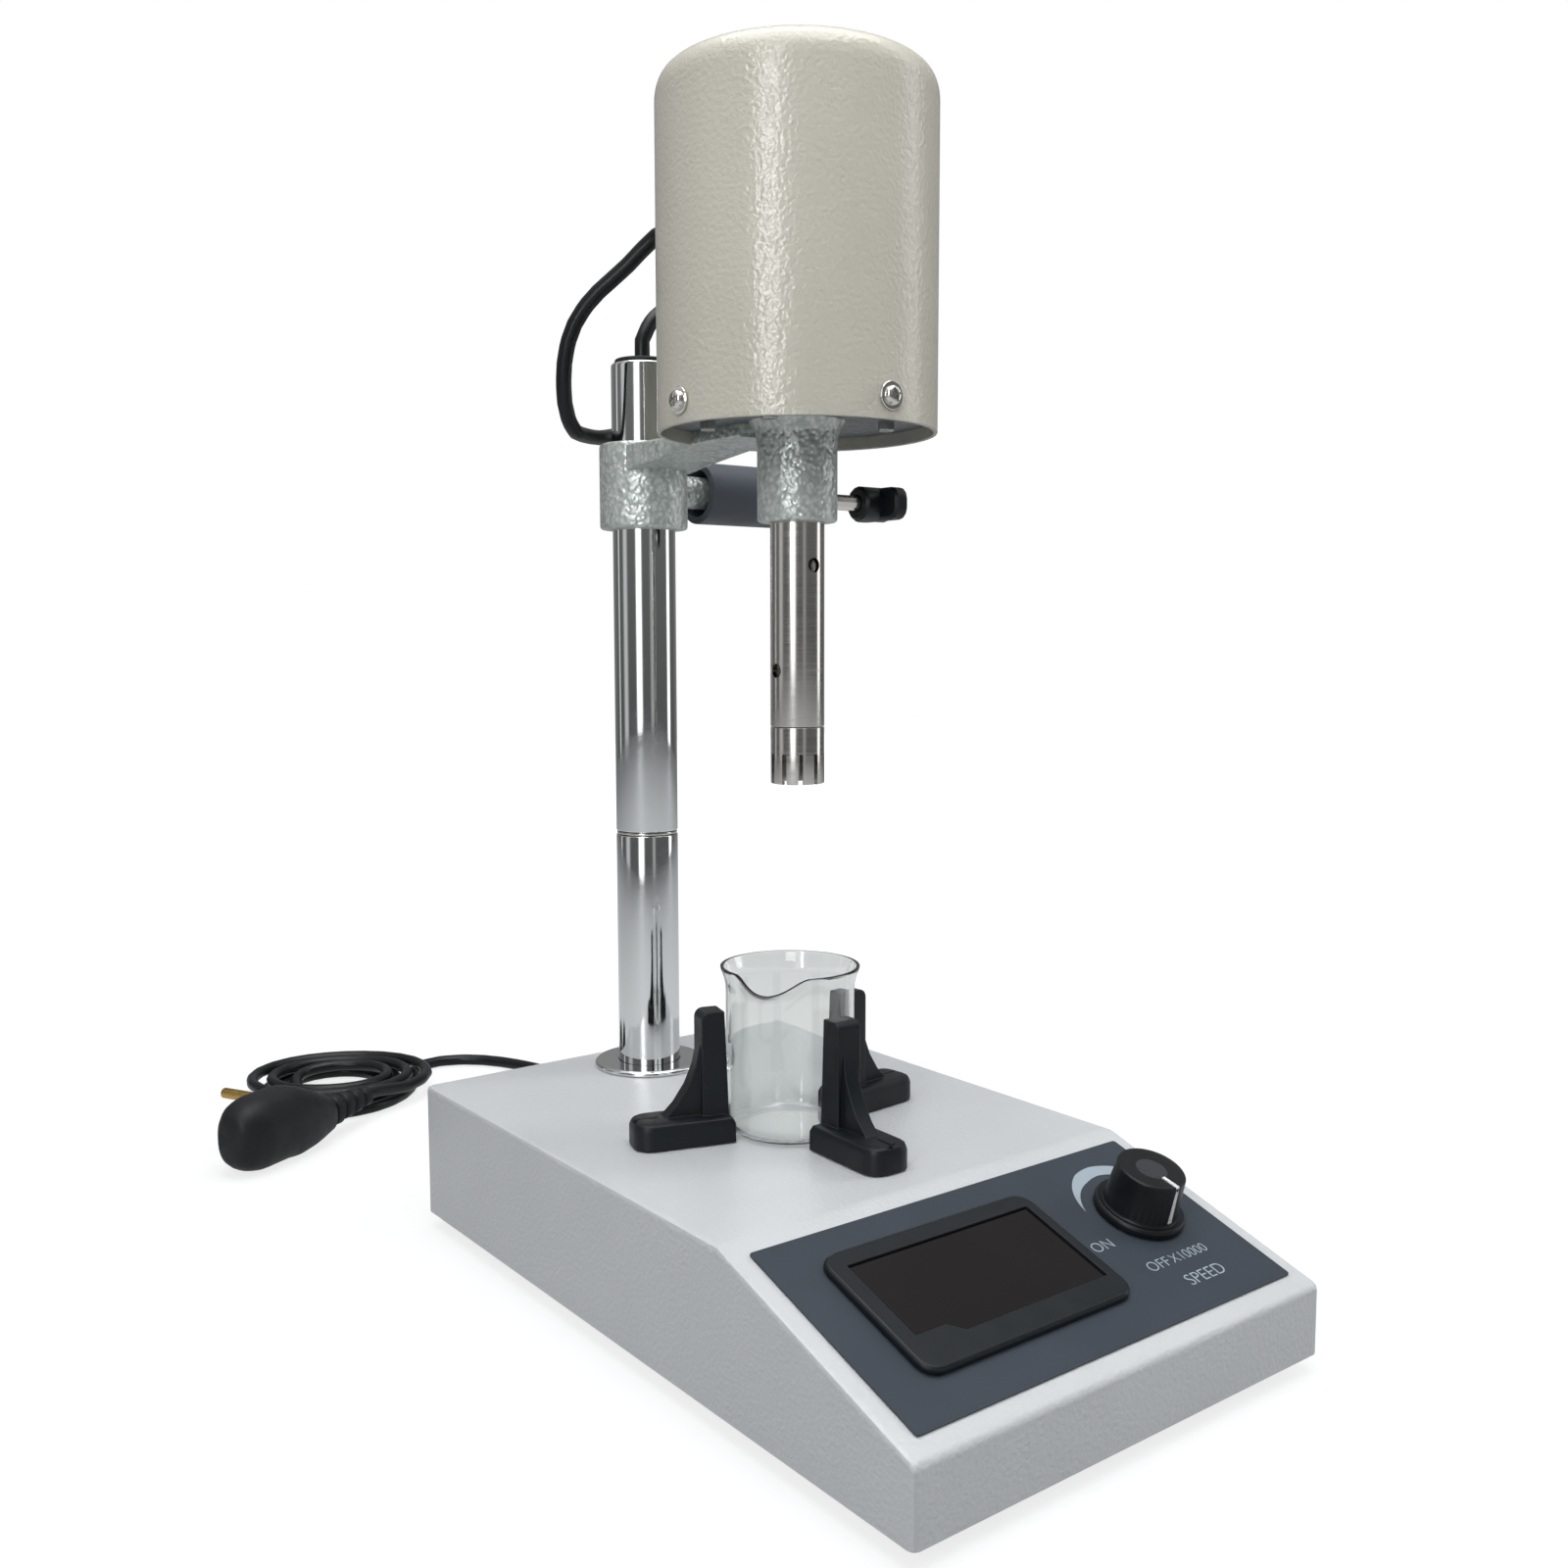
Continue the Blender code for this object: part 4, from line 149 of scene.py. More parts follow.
def powder_coat():
    """Off-white powder coat on sheet steel: a fine, even orange peel that breaks up the gloss."""
    made = finish("powder_coat_off_white", "#d6d9dc", 0.34)
    peel = pattern(made, 1.5 * MM, 1.5)
    relief(made, (0.30 * MM, peel))
    tint(made, pattern(made, 45 * MM), (0.35, "#d5d8db"), (0.65, "#d8dbde"))
    return made


def structure_enamel():
    """Cream structure enamel on the drawn cover: coarser grains that sparkle where a lamp shows."""
    made = finish("structure_enamel_cream", "#cecbbe", 0.17)
    peel = pattern(made, 1.6 * MM, 1.5)
    relief(made, (0.30 * MM, peel))
    tint(made, pattern(made, 60 * MM), (0.35, "#cdcabd"), (0.65, "#d1cec1"))
    return made


def hammered_casting(name="silver_paint_on_sand_casting", colour="#c6ccc9", light="#dfe4e1", deep="#b6beba",
                     metal=0.45):
    """Sand-cast alloy under grey-green silver paint: lumps of the mould, and paint pooled between them."""
    made = finish(name, colour, 0.34, metal)
    lumps = pattern(made, 3.2 * MM, 1.5)
    cells = pattern(made, 1.7 * MM, kind="ShaderNodeTexVoronoi", feature="SMOOTH_F1")
    relief(made, (0.7 * MM, lumps), (0.45 * MM, cells))
    tint(made, cells, (0.1, light), (0.6, deep))
    polish(made, lumps, 0.28, 0.48)
    return made


def chrome_plate():
    """Bright chrome on a drawn tube: a mirror with a faint haze of fine pits."""
    made = finish("bright_chrome_plate", "#d8dadb", 0.06, 1.0)
    polish(made, pattern(made, 6 * MM, 3.0), 0.045, 0.10)
    relief(made, (0.004 * MM, pattern(made, 2.5 * MM, 3.0)))
    return made


def turned_stainless():
    """Stainless steel turned and polished: fine rings across the axis, drawn coarser than real."""
    made = finish("polished_stainless_turned", "#d0ceca", 0.17, 1.0)
    rings = pattern(made, 14 * MM, 3.0, (1, 1, 60))
    relief(made, (0.004 * MM, rings))
    polish(made, rings, 0.12, 0.24)
    return made


def zinc_plate():
    """Zinc plated steel: satin grey with a faint spangle."""
    made = finish("zinc_plated_steel", "#a7a9a6", 0.38, 1.0)
    spangle = pattern(made, 4 * MM, kind="ShaderNodeTexVoronoi")
    tint(made, spangle, (0.0, "#b2b4b1"), (0.7, "#989a98"))
    polish(made, spangle, 0.30, 0.46)
    return made


def laminated_steel():
    """Stacked motor laminations: thin dark lines between the bright edges of the sheets."""
    made = finish("stacked_laminations", "#777a7c", 0.45, 0.9)
    sheets = pattern(made, 20 * MM, 0.0, (0.02, 0.02, 20))
    tint(made, sheets, (0.4, "#54575a"), (0.6, "#8b8e90"))
    relief(made, (0.05 * MM, sheets))
    return made


def brass_pin():
    """Turned brass, a little dull from handling."""
    made = finish("turned_brass", "#b99a57", 0.26, 1.0)
    polish(made, pattern(made, 3 * MM, 3.0), 0.20, 0.36)
    return made


def printed_film():
    """Matt polyester film printed slate grey on its back: almost no relief, a soft even sheen."""
    made = finish("matt_printed_film_slate", "#39404a", 0.55, Specular_IOR_Level=0.3)
    relief(made, (0.010 * MM, pattern(made, 0.5 * MM, 2.0)))
    tint(made, pattern(made, 25 * MM), (0.35, "#383f49"), (0.65, "#3b424c"))
    return made


def moulded(name, code, roughness, grain=0.35 * MM, height=0.02 * MM):
    """A moulded plastic or rubber: spark-eroded grain and slightly uneven gloss."""
    made = finish(name, code, roughness, Specular_IOR_Level=0.3)
    relief(made, (height, pattern(made, grain, 2.0)))
    polish(made, pattern(made, 7 * MM, 2.0), roughness - 0.05, roughness + 0.07)
    return made


def smoked_acrylic():
    """Smoked acrylic over a dark display: brown black, flat and glossy."""
    made = finish("smoked_acrylic", "#1b1817", 0.12, Specular_IOR_Level=0.25)
    tint(made, pattern(made, 45 * MM), (0.35, "#191616"), (0.65, "#1c1919"))
    return made


def borosilicate():
    """Clear borosilicate glass, fire polished at the rim."""
    made = finish("borosilicate_glass", "#fbfdfc", 0.0, Transmission_Weight=1.0, IOR=1.47)
    relief(made, (0.01 * MM, pattern(made, 9 * MM, 1.0)))
    return made


def circuit_board():
    """Epoxy glass board under green mask, with the paler weave just showing."""
    made = finish("green_masked_board", "#1f5a36", 0.42)
    weave = pattern(made, 1.2 * MM, kind="ShaderNodeTexChecker")
    tint(made, weave, (0.0, "#1d5533"), (1.0, "#236139"))
    return made


LOOKS = {
    "white_paint": powder_coat(),
    "cream_paint": structure_enamel(),
    "casting": hammered_casting(),
    "chrome": chrome_plate(),
    "steel": turned_stainless(),
    "zinc": zinc_plate(),
    "brass": brass_pin(),
    "slate_film": printed_film(),
    "black_plastic": moulded("abs_black_satin", "#0f1317", 0.40),
    "grey_plastic": moulded("abs_grey_satin", "#50565e", 0.44),
    "rubber": moulded("black_rubber_moulded", "#15171a", 0.50, 0.5 * MM, 0.03 * MM),
    "cord_jacket": moulded("black_vinyl_jacket", "#101316", 0.34, 1.2 * MM, 0.02 * MM),
    "white_mark": moulded("white_paint_inlay", "#eef0f0", 0.45),
    "fluoropolymer": moulded("white_fluoropolymer", "#e4e4de", 0.40),
    "smoked_acrylic": smoked_acrylic(),
    "glass": borosilicate(),
    "board": circuit_board(),
}
BEZEL_LOOK = moulded("abs_black_fine_grain", "#161b1f", 0.40, 0.3 * MM, 0.012 * MM)
NYLON = moulded("glass_filled_nylon_black", "#11161b", 0.42, 0.45 * MM, 0.03 * MM)
KNOB_CAP = moulded("anodised_cap_dark_grey", "#3b3e42", 0.30, 0.3 * MM, 0.008 * MM)
PALE_INK = moulded("screen_ink_pale_grey", "#a9b7c2", 0.55)
LAMINATIONS = laminated_steel()
# A darker, duller copy of the casting paint for the motor plate: painted shade for the plate set up inside the cover's
# mouth.
PLATE_PAINT_IN_PAINTED_SHADE = hammered_casting("casting_paint_darkened_as_painted_shade", "#5c6266", "#646a6e", "#54595d", 0.1)


# Shapes: each is a pair of points and faces, worked out as whole arrays


def quads(rows, columns, wrap_rows=False, wrap_columns=True):
    """Return the faces of a grid of points, row by row, joined round where asked."""
    row = np.arange(rows if wrap_rows else rows - 1)
    column = np.arange(columns if wrap_columns else columns - 1)
    row, column = (part.ravel() for part in np.meshgrid(row, column, indexing="ij"))
    below, beside = (row + 1) % rows, (column + 1) % columns
    return np.stack([row * columns + column, row * columns + beside,
                     below * columns + beside, below * columns + column], axis=1)


def eased(corners, radii, steps=6):
    """Round an outline's corners: a weighted mean of the points on both sides and the corner."""
    corners = np.asarray(corners, float)
    cut = np.broadcast_to(np.asarray(radii, float), len(corners))[:, None]
    before, after = np.roll(corners, 1, 0) - corners, np.roll(corners, -1, 0) - corners
    back, on = (np.linalg.norm(way, axis=1, keepdims=True) for way in (before, after))
    reach = np.minimum(cut, 0.49 * np.minimum(back, on))
    start, end = corners + before / back * reach, corners + after / on * reach
    t = np.linspace(0, 1, steps + 1)[None, :, None]
    bent = (1 - t) ** 2 * start[:, None] + 2 * t * (1 - t) * corners[:, None] + t ** 2 * end[:, None]
    return bent.reshape(-1, corners.shape[1])


def turned(profile, place=(0, 0, 0), axis="Z", sides=96, swell=None):
    """Turn a half section of radius and height about an axis; swell changes the radius by angle."""
    profile = np.asarray(profile, float)
    angle = (np.arange(sides) + 0.5) * math.tau / sides
    radius = profile[:, :1] + np.zeros_like(angle)
    if swell:
        radius = swell(radius, profile[:, 1:2], angle)
    along = profile[:, 1:2] + np.zeros_like(angle)
    u, v = radius * np.cos(angle), radius * np.sin(angle)
    order = {"Z": (u, v, along), "X": (along, u, v), "Y": (v, along, u)}[axis]
    points = np.stack(order, axis=-1).reshape(-1, 3) + np.asarray(place, float)
    return points, quads(len(profile), sides, wrap_rows=profile[0, 0] > 0)


def carried(sections):
    """Join closed sections, an array of rows, points and coordinates, and draw both ends to a point."""
    sections = np.asarray(sections, float)
    ends = sections.mean(axis=1, keepdims=True) + np.zeros_like(sections)
    rows = np.concatenate([ends[:1], sections, ends[-1:]])
    return rows.reshape(-1, 3), quads(rows.shape[0], rows.shape[1])


def shifted(shape, matrix):
    """Carry a shape by a matrix."""
    points, faces = shape
    matrix = np.array(matrix)
    return points @ matrix[:3, :3].T + matrix[:3, 3], faces


def on_panel(x=0.0, up=0.0, rise=0.0):
    """Return the matrix of a place on the panel: across, up the slope, and off its face."""
    return (Matrix.Translation((0, FRONT_Y, LIP_Z)) @ Matrix.Rotation(SLOPE, 4, "X")
            @ Matrix.Translation((x, up, rise)))


def tidy(mesh, angle=35):
    """Merge doubles, point the faces outwards and shade smooth up to an angle."""
    work = bmesh.new()
    work.from_mesh(mesh)
    bmesh.ops.remove_doubles(work, verts=work.verts, dist=0.000002)
    bmesh.ops.dissolve_degenerate(work, edges=work.edges, dist=0.000001)
    bmesh.ops.recalc_face_normals(work, faces=work.faces)
    work.to_mesh(mesh)
    work.free()
    mesh.shade_smooth()
    mesh.set_sharp_from_angle(angle=math.radians(angle))


def placed(name, mesh, look, body, nodes=()):
    """Put a mesh in the scene, on its body and in the place of its CAD nodes."""
    if look:
        mesh.materials.clear()
        mesh.materials.append(look)
    made = bpy.data.objects.new(name, mesh)
    bpy.context.scene.collection.objects.link(made)
    if body:
        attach(made, body)
    if nodes:
        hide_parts(*nodes)
    return made


def piece(name, shapes, look, body, nodes=(), angle=35):
    """Make one piece from closed shapes."""
    points, faces, count = [], [], 0
    for some_points, some_faces in shapes:
        points.append(some_points)
        faces.append(some_faces + count)
        count += len(some_points)
    mesh = bpy.data.meshes.new(name)
    mesh.from_pydata(np.concatenate(points).tolist(), [], np.concatenate(faces).tolist())
    tidy(mesh, angle)
    return placed(name, mesh, look, body, nodes)


def carve(made, shapes, angle=35):
    """Cut closed shapes out of a piece."""
    for number, shape in enumerate(shapes):
        mesh = bpy.data.meshes.new("cutter")
        mesh.from_pydata(shape[0].tolist(), [], shape[1].tolist())
        tidy(mesh)
        cutter = bpy.data.objects.new("cutter", mesh)
        bpy.context.scene.collection.objects.link(cutter)
        cutting = made.modifiers.new("cut", "BOOLEAN")
        cutting.operation, cutting.solver, cutting.object = "DIFFERENCE", "EXACT", cutter
        bpy.context.view_layer.update()
        result = bpy.data.meshes.new_from_object(made.evaluated_get(bpy.context.evaluated_depsgraph_get()))
        made.modifiers.clear()
        made.data = result
        bpy.data.objects.remove(cutter, do_unlink=True)
    tidy(made.data, angle)


def redressed(node, look, body, edge=0.0, steps=2):
    """Merge a copy of a CAD node's mesh, round its sharp edges and weigh its normals by face."""
    mesh = frame["nodes"][node].data.copy()
    mesh.name = node + "_surface"
    work = bmesh.new()
    work.from_mesh(mesh)
    bmesh.ops.remove_doubles(work, verts=work.verts, dist=0.000002)
    bmesh.ops.dissolve_limit(work, angle_limit=math.radians(0.5), verts=work.verts, edges=work.edges)
    work.to_mesh(mesh)
    work.free()
    mesh.shade_smooth()
    mesh.set_sharp_from_angle(angle=math.radians(50))
    made = placed(node + "_surface", mesh, look, body, (node,))
    if edge:
        bevel = made.modifiers.new("edges", "BEVEL")
        bevel.width, bevel.segments, bevel.limit_method = edge, steps, "ANGLE"
        bevel.angle_limit, bevel.use_clamp_overlap = math.radians(40), True
    weigh = made.modifiers.new("normals", "WEIGHTED_NORMAL")
    weigh.keep_sharp = True
    return made


# Cords, in the same places as in the CAD model


def even(points, spacing):
    """Return points at even steps along a chain of points."""
    lengths = np.concatenate([[0], np.cumsum(np.linalg.norm(np.diff(points, axis=0), axis=1))])
    steps = np.linspace(0, lengths[-1], max(2, round(lengths[-1] / spacing)) + 1)
    return np.stack([np.interp(steps, lengths, points[:, axis]) for axis in range(3)], axis=1)


def smooth_run(points, spacing):
    """Draw a curve through points, each stretch a cubic of four of them, with straight ends."""
    points = np.asarray(points, float)
    a, b, c, d = (points[i:len(points) - 3 + i, None] for i in range(4))
    t = (np.arange(20) / 20)[None, :, None]
    fine = (2 * b + (c - a) * t + (2 * a - 5 * b + 4 * c - d) * t ** 2 + (3 * b - a - 3 * c + d) * t ** 3) / 2
    fine = np.concatenate([fine.reshape(-1, 3), points[-2:-1]])
    return np.concatenate([points[:1], even(fine, spacing), points[-1:]])


def hose(path, radius, reference, sides=20):
    """Carry a circle along a path, squared to its direction against a reference direction."""
    path = np.asarray(path, float)
    way = np.gradient(path, axis=0)
    way /= np.linalg.norm(way, axis=1, keepdims=True)
    reference = np.asarray(reference, float)
    side = reference - (way @ reference)[:, None] * way
    side /= np.linalg.norm(side, axis=1, keepdims=True)
    other = np.cross(way, side)
    angle = np.arange(sides) * math.tau / sides
    ring = np.cos(angle)[None, :, None] * side[:, None] + np.sin(angle)[None, :, None] * other[:, None]
    return carried(path[:, None] + radius * ring)


CORD_RADIUS = 0.0028
CORD_ROUTE = [
    (0.048, 0.172, 0.0240), (0.0485, 0.187, 0.0170), (0.050, 0.204, 0.0070), (0.0515, 0.222, 0.0031),
    (0.052, 0.250, 0.0031), (0.0505, 0.280, 0.0031), (0.044, 0.308, 0.0031), (0.032, 0.332, 0.0031),
    (0.016, 0.345, 0.0031), (0.000, 0.3450, 0.0031),
]
CABLE_RADIUS = 0.003
CABLE_ROUTE = [
    (-0.0136, 0.082, 0.3820), (-0.0212, 0.092, 0.3714), (-0.0313, 0.104, 0.3585), (-0.0359, 0.111, 0.3446),
    (-0.0351, 0.116, 0.3270), (-0.0291, 0.121, 0.3150), (-0.0175, 0.130, 0.3135), (-0.0020, 0.1375, 0.3150),
    (0.0140, 0.1345, 0.3220), (0.0205, 0.1260, 0.3370), (0.0180, 0.1200, 0.3540), (0.0090, 0.1160, 0.3625),
]
PLUG_TIP = np.array([-0.056, 0.283, 0.0125])
PLUG_TURN = math.radians(208)


def wound_coil():
    """Wind the coil: radius falls by a pitch a turn to the middle, the cord climbs a layer, and returns."""
    total = math.tau * 5.14
    wound = total * np.arange(124) / 123
    depth = total / 2 - np.abs(wound - total / 2)
    climb = np.clip((wound - total / 2) / math.pi + 0.5, 0, 1)
    climb = climb ** 2 * (3 - 2 * climb)
    turn = math.radians(-10) - wound
    oval = math.radians(60) + climb * math.radians(85)
    radius = (0.0430 - 0.0090 * depth / math.tau) * (1 + 0.09 * np.cos(2 * (turn - oval)))
    return np.stack([-0.052 + radius * np.cos(turn), 0.334 + radius * np.sin(turn),
                     CORD_RADIUS + CLEAR + climb * 0.0062], axis=1)


def mains_lead():
    """Lay the mains lead from its relief, across the bench, through the coil and into the plug."""
    wound = wound_coil()
    inlet = (wound[0] - wound[1]) / np.linalg.norm(wound[0] - wound[1])
    join = wound[0] + inlet * 2 * CORD_RADIUS
    axis = np.array([math.cos(PLUG_TURN), math.sin(PLUG_TURN), 0])
    tail = smooth_run([wound[-2], wound[-1], PLUG_TIP - axis * 2 * CORD_RADIUS, PLUG_TIP - axis * CLEAR],
                      2 * CORD_RADIUS)
    exit_y = BACK_Y + CLEAR + 0.0025 + 0.018 + CLEAR
    run = smooth_run([(0.048, exit_y, 0.024), *CORD_ROUTE, join + inlet * (2 * CORD_RADIUS + CLEAR),
                      join + inlet * CLEAR], 4 * CORD_RADIUS)
    rough = np.concatenate([run, wound, tail[2:]])
    path = even(rough, 0.0035)
    made = piece("mains_lead", [hose(path, CORD_RADIUS, (0, 0, 1))], LOOKS["cord_jacket"], "base",
                 ("mains_cord", "mains_cord_coil"), 60)
    return made, path


def motor_lead():
    """Hang the motor cable from the cover, round behind the column and down into its top."""
    turn = math.radians(99)
    outward = np.array([math.cos(turn), math.sin(turn), 0])
    axis = np.array([0, DRIVE[1], 0.385])
    top = 0.341 - 0.003 + CLEAR
    route = [axis + outward * 0.0425, axis + outward * 0.0545, *CABLE_ROUTE, (0, COLUMN[1], top + 0.012),
             (0, COLUMN[1], top)]
    path = even(smooth_run(route, 2.5 * CABLE_RADIUS), 0.003)
    made = piece("motor_lead", [hose(path, CABLE_RADIUS, (0.6, -0.8, 0))], LOOKS["cord_jacket"], None,
                 ("motor_cable",), 60)
    return made, path


# Base, panel and display


def base_housing():
    """Dress the folded housing, its feet and its cord relief."""
    redressed("base_shell", LOOKS["white_paint"], "base", 0.0006, 3)
    for number, (x, y) in enumerate(((-0.065, -0.121), (0.065, -0.121), (0.065, 0.121), (-0.065, 0.121)), 1):
        foot = eased([(0, 0), (0.008, 0), (0.009, 0.0057), (0.0024, 0.0057), (0.0024, 0.0092), (0.0034, 0.0092),
                      (0.0024, 0.0122), (0, 0.0122)], [0, 0.0012, 0.0008, 0, 0, 0, 0, 0])
        piece(f"pad_foot_{number}", [turned(foot, (x, y, 0), sides=48)], LOOKS["rubber"], "base",
              (f"foot_{number}",))
    start = [(0, -0.0065), (0.0062, -0.0065), (0.0062, 0.0003), (0.0085, 0.0003), (0.0085, 0.0028)]
    share = np.arange(4) / 4
    radius = 0.0052 - 0.0012 * share
    low = 0.0028 + 0.0045 * np.arange(4)
    ribs = np.stack([np.stack([radius - 0.0008, low], 1), np.stack([radius - 0.0008, low + 0.0013], 1),
                     np.stack([radius, low + 0.0017], 1), np.stack([radius, low + 0.0043], 1)], 1).reshape(-1, 2)
    relief_section = eased(np.concatenate([start, ribs, [(0, 0.0208)]]), 0.00035, 3)
    relief_section[0] = (0, -0.0065)
    relief_section[:4, 0] = 0
    piece("lead_relief", [turned(relief_section, (0.048, BACK_Y, 0.024), "Y", 40)], LOOKS["rubber"], "base",
          ("cord_gland",))


def lettering(name, text, size, x, up, tilt=0.0):
    """Print generic words on the film, as a flat mesh a hair above it."""
    curve = bpy.data.curves.new(name, "FONT")
    curve.body, curve.size, curve.align_x, curve.align_y = text, size, "CENTER", "CENTER"
    curve.extrude, curve.offset = 0.00004, -0.00008
    words = bpy.data.objects.new(name, curve)
    bpy.context.scene.collection.objects.link(words)
    bpy.context.view_layer.update()
    mesh = bpy.data.meshes.new_from_object(words.evaluated_get(bpy.context.evaluated_depsgraph_get()))
    bpy.data.objects.remove(words, do_unlink=True)
    mesh.transform(on_panel(x, up, 0.00084) @ Matrix.Rotation(math.radians(tilt), 4, "Z"))
    mesh.name = name
    return placed(name, mesh, PALE_INK, "base")


def dial_crescent():
    """Print the crescent: an arc about the knob that widens from nothing to its full width."""
    share = np.linspace(0, 1, 72)
    angle = np.radians(158 - 118 * share)
    middle = 0.0190 + 0.0034 * np.minimum(1, share * 1.6)
    half = 0.0024 * np.clip(share * 2.2, 0.03, 1) * np.clip((1 - share) * 14, 0.05, 1)
    x, y = KNOB_PLACE
    inner = np.stack([x + (middle - half) * np.cos(angle), y + (middle - half) * np.sin(angle)], 1)
    outer = np.stack([x + (middle + half) * np.cos(angle), y + (middle + half) * np.sin(angle)], 1)
    low, high = 0.00080 + np.zeros((72, 1)), 0.00088 + np.zeros((72, 1))
    sections = np.stack([np.hstack([inner, low]), np.hstack([outer, low]), np.hstack([outer, high]),
                         np.hstack([inner, high])], axis=1)
    piece("speed_crescent", [shifted(carried(sections), on_panel())], PALE_INK, "base")


def panel():
    """Dress the film, the display and its window, and print the dial's words."""
    redressed("panel_overlay", LOOKS["slate_film"], "base")
    redressed("display_bezel", BEZEL_LOOK, "base", 0.0003, 2)
    redressed("display_window", LOOKS["smoked_acrylic"], "base", 0.00015, 1)
    dial_crescent()
    lettering("word_on", "ON", 0.0060, 0.0290, 0.0420)
    lettering("word_off", "OFF", 0.0058, 0.0400, 0.0280)
    lettering("word_factor", "X10000", 0.0054, 0.0545, 0.0280)
    lettering("word_speed", "SPEED", 0.0066, 0.0515, 0.0185)


def knob():
    """Turn the fluted knob on its skirt, with its darker cap and its raised pointer."""
    side = eased([(0.0075, 0.0001), (0.0150, 0.0001), (0.0150, 0.0021), (0.0143, 0.0030), (0.0125, 0.0026),
                  (0.0121, 0.0032), (0.0113, 0.0166), (0.0107, 0.0170), (0.0103, 0.0168), (0, 0.0165),
                  (0, 0.0145), (0.0033, 0.0145), (0.0033, 0.0055), (0.0075, 0.0055)],
                 [0, 0.0003, 0.0005, 0.0004, 0.0003, 0.0003, 0.0004, 0.0002, 0.0002, 0, 0, 0, 0, 0], 5)
    side = np.roll(side, -int(np.argmax((side[:, 0] == 0) & (side[:, 1] < 0.015))), axis=0)

    def flutes(radius, height, angle):
        """Thirty-six shallow flutes on the grip, which fade at its foot and its rim."""
        grip = np.clip((height - 0.0034) / 0.0008, 0, 1) * np.clip((0.0163 - height) / 0.0008, 0, 1)
        grip = grip * (radius > 0.010)
        return radius - 0.00028 * grip * (0.5 - 0.5 * np.cos(36 * angle)) ** 0.7

    where = on_panel(*KNOB_PLACE, PANEL_SEAT)
    piece("fluted_knob", [shifted(turned(side, sides=288, swell=flutes), where)], LOOKS["black_plastic"],
          "speed_control", ("speed_knob",), 40)
    cap = eased([(0, 0.0162), (0.0098, 0.0162), (0.0099, 0.01668), (0, 0.01662)], [0, 0, 0.0002, 0], 4)
    piece("knob_cap", [shifted(turned(cap), where)], KNOB_CAP, "speed_control")
    outline = np.array([(-0.0121, 0.0036), (-0.0108, 0.0036), (-0.0101, 0.0160), (-0.0048, 0.0160),
                        (-0.0048, 0.01690), (-0.0112, 0.01715), (-0.01245, 0.0040)])
    outline = eased(outline, 0.0003, 4)
    width = np.array([-0.0007, -0.0006, 0.0006, 0.0007])[:, None]
    grow = np.array([0.97, 1.0, 1.0, 0.97])[:, None, None]
    centre = outline.mean(axis=0)
    sections = centre + (outline[None] - centre) * grow
    sections = np.concatenate([width[:, :, None] + np.zeros((4, len(outline), 1)), sections], axis=2)
    piece("pointer_inlay", [shifted(carried(sections), where)], LOOKS["white_mark"], "speed_control",
          ("knob_pointer",))


# Column and head


def column():
    """Turn the chromed sections, the ring between them, the flange and the grommet in the top."""
    place = (*COLUMN, 0)
    flange = eased([(0.0128, 0.0575), (0.0225, 0.0575), (0.0225, 0.0587), (0.0215, 0.0595), (0.0150, 0.0598),
                    (0.0137, 0.0600), (0.0128, 0.0600)], [0, 0.0002, 0.0006, 0.0006, 0.0008, 0.0004, 0], 5)
    flange[:, 1] = np.minimum(flange[:, 1], 0.0595)
    piece("chromed_flange", [turned(flange, place, sides=128)], LOOKS["chrome"], "base",
          ("column_flange",))
    lower = eased([(0.0062, 0.0432), (0.0100, 0.0432), (0.0100, 0.0575), (0.0125, 0.0575), (0.0125, 0.1534),
                   (0.0095, 0.1534), (0.0095, 0.0692), (0.0062, 0.0692)],
                  [0, 0, 0, 0, 0.0005, 0, 0, 0], 5)
    piece("lower_tube", [turned(lower, place, sides=128)], LOOKS["chrome"], "base", ("column_lower",))
    upper = eased([(0.0095, 0.1550), (0.0125, 0.1550), (0.0125, 0.3410), (0.0095, 0.3410)],
                  [0, 0.0005, 0.0018, 0.0004], 8)
    piece("upper_tube", [turned(upper, place, sides=128)], LOOKS["chrome"], "upper_column", ("column_upper",))
    ring = eased([(0.0065, 0.1342), (0.0092, 0.1342), (0.0092, 0.1537), (0.0122, 0.1537), (0.0122, 0.1547),
                  (0.0092, 0.1547), (0.0092, 0.1742), (0.0065, 0.1742)], [0, 0, 0, 0.0003, 0.0003, 0, 0, 0], 4)
    piece("seam_ring", [turned(ring, place, sides=96)], LOOKS["steel"], "base", ("column_spigot",))
    lip = eased([(0.0033, 0.3350), (0.0092, 0.3350), (0.0092, 0.3413), (0.0112, 0.3413), (0.0108, 0.3427),
                 (0.0033, 0.3427)], [0, 0, 0, 0.0003, 0.0006, 0.0006], 4)
    piece("top_grommet", [turned(lip, place, sides=64)], LOOKS["rubber"], "upper_column", ("column_grommet",))


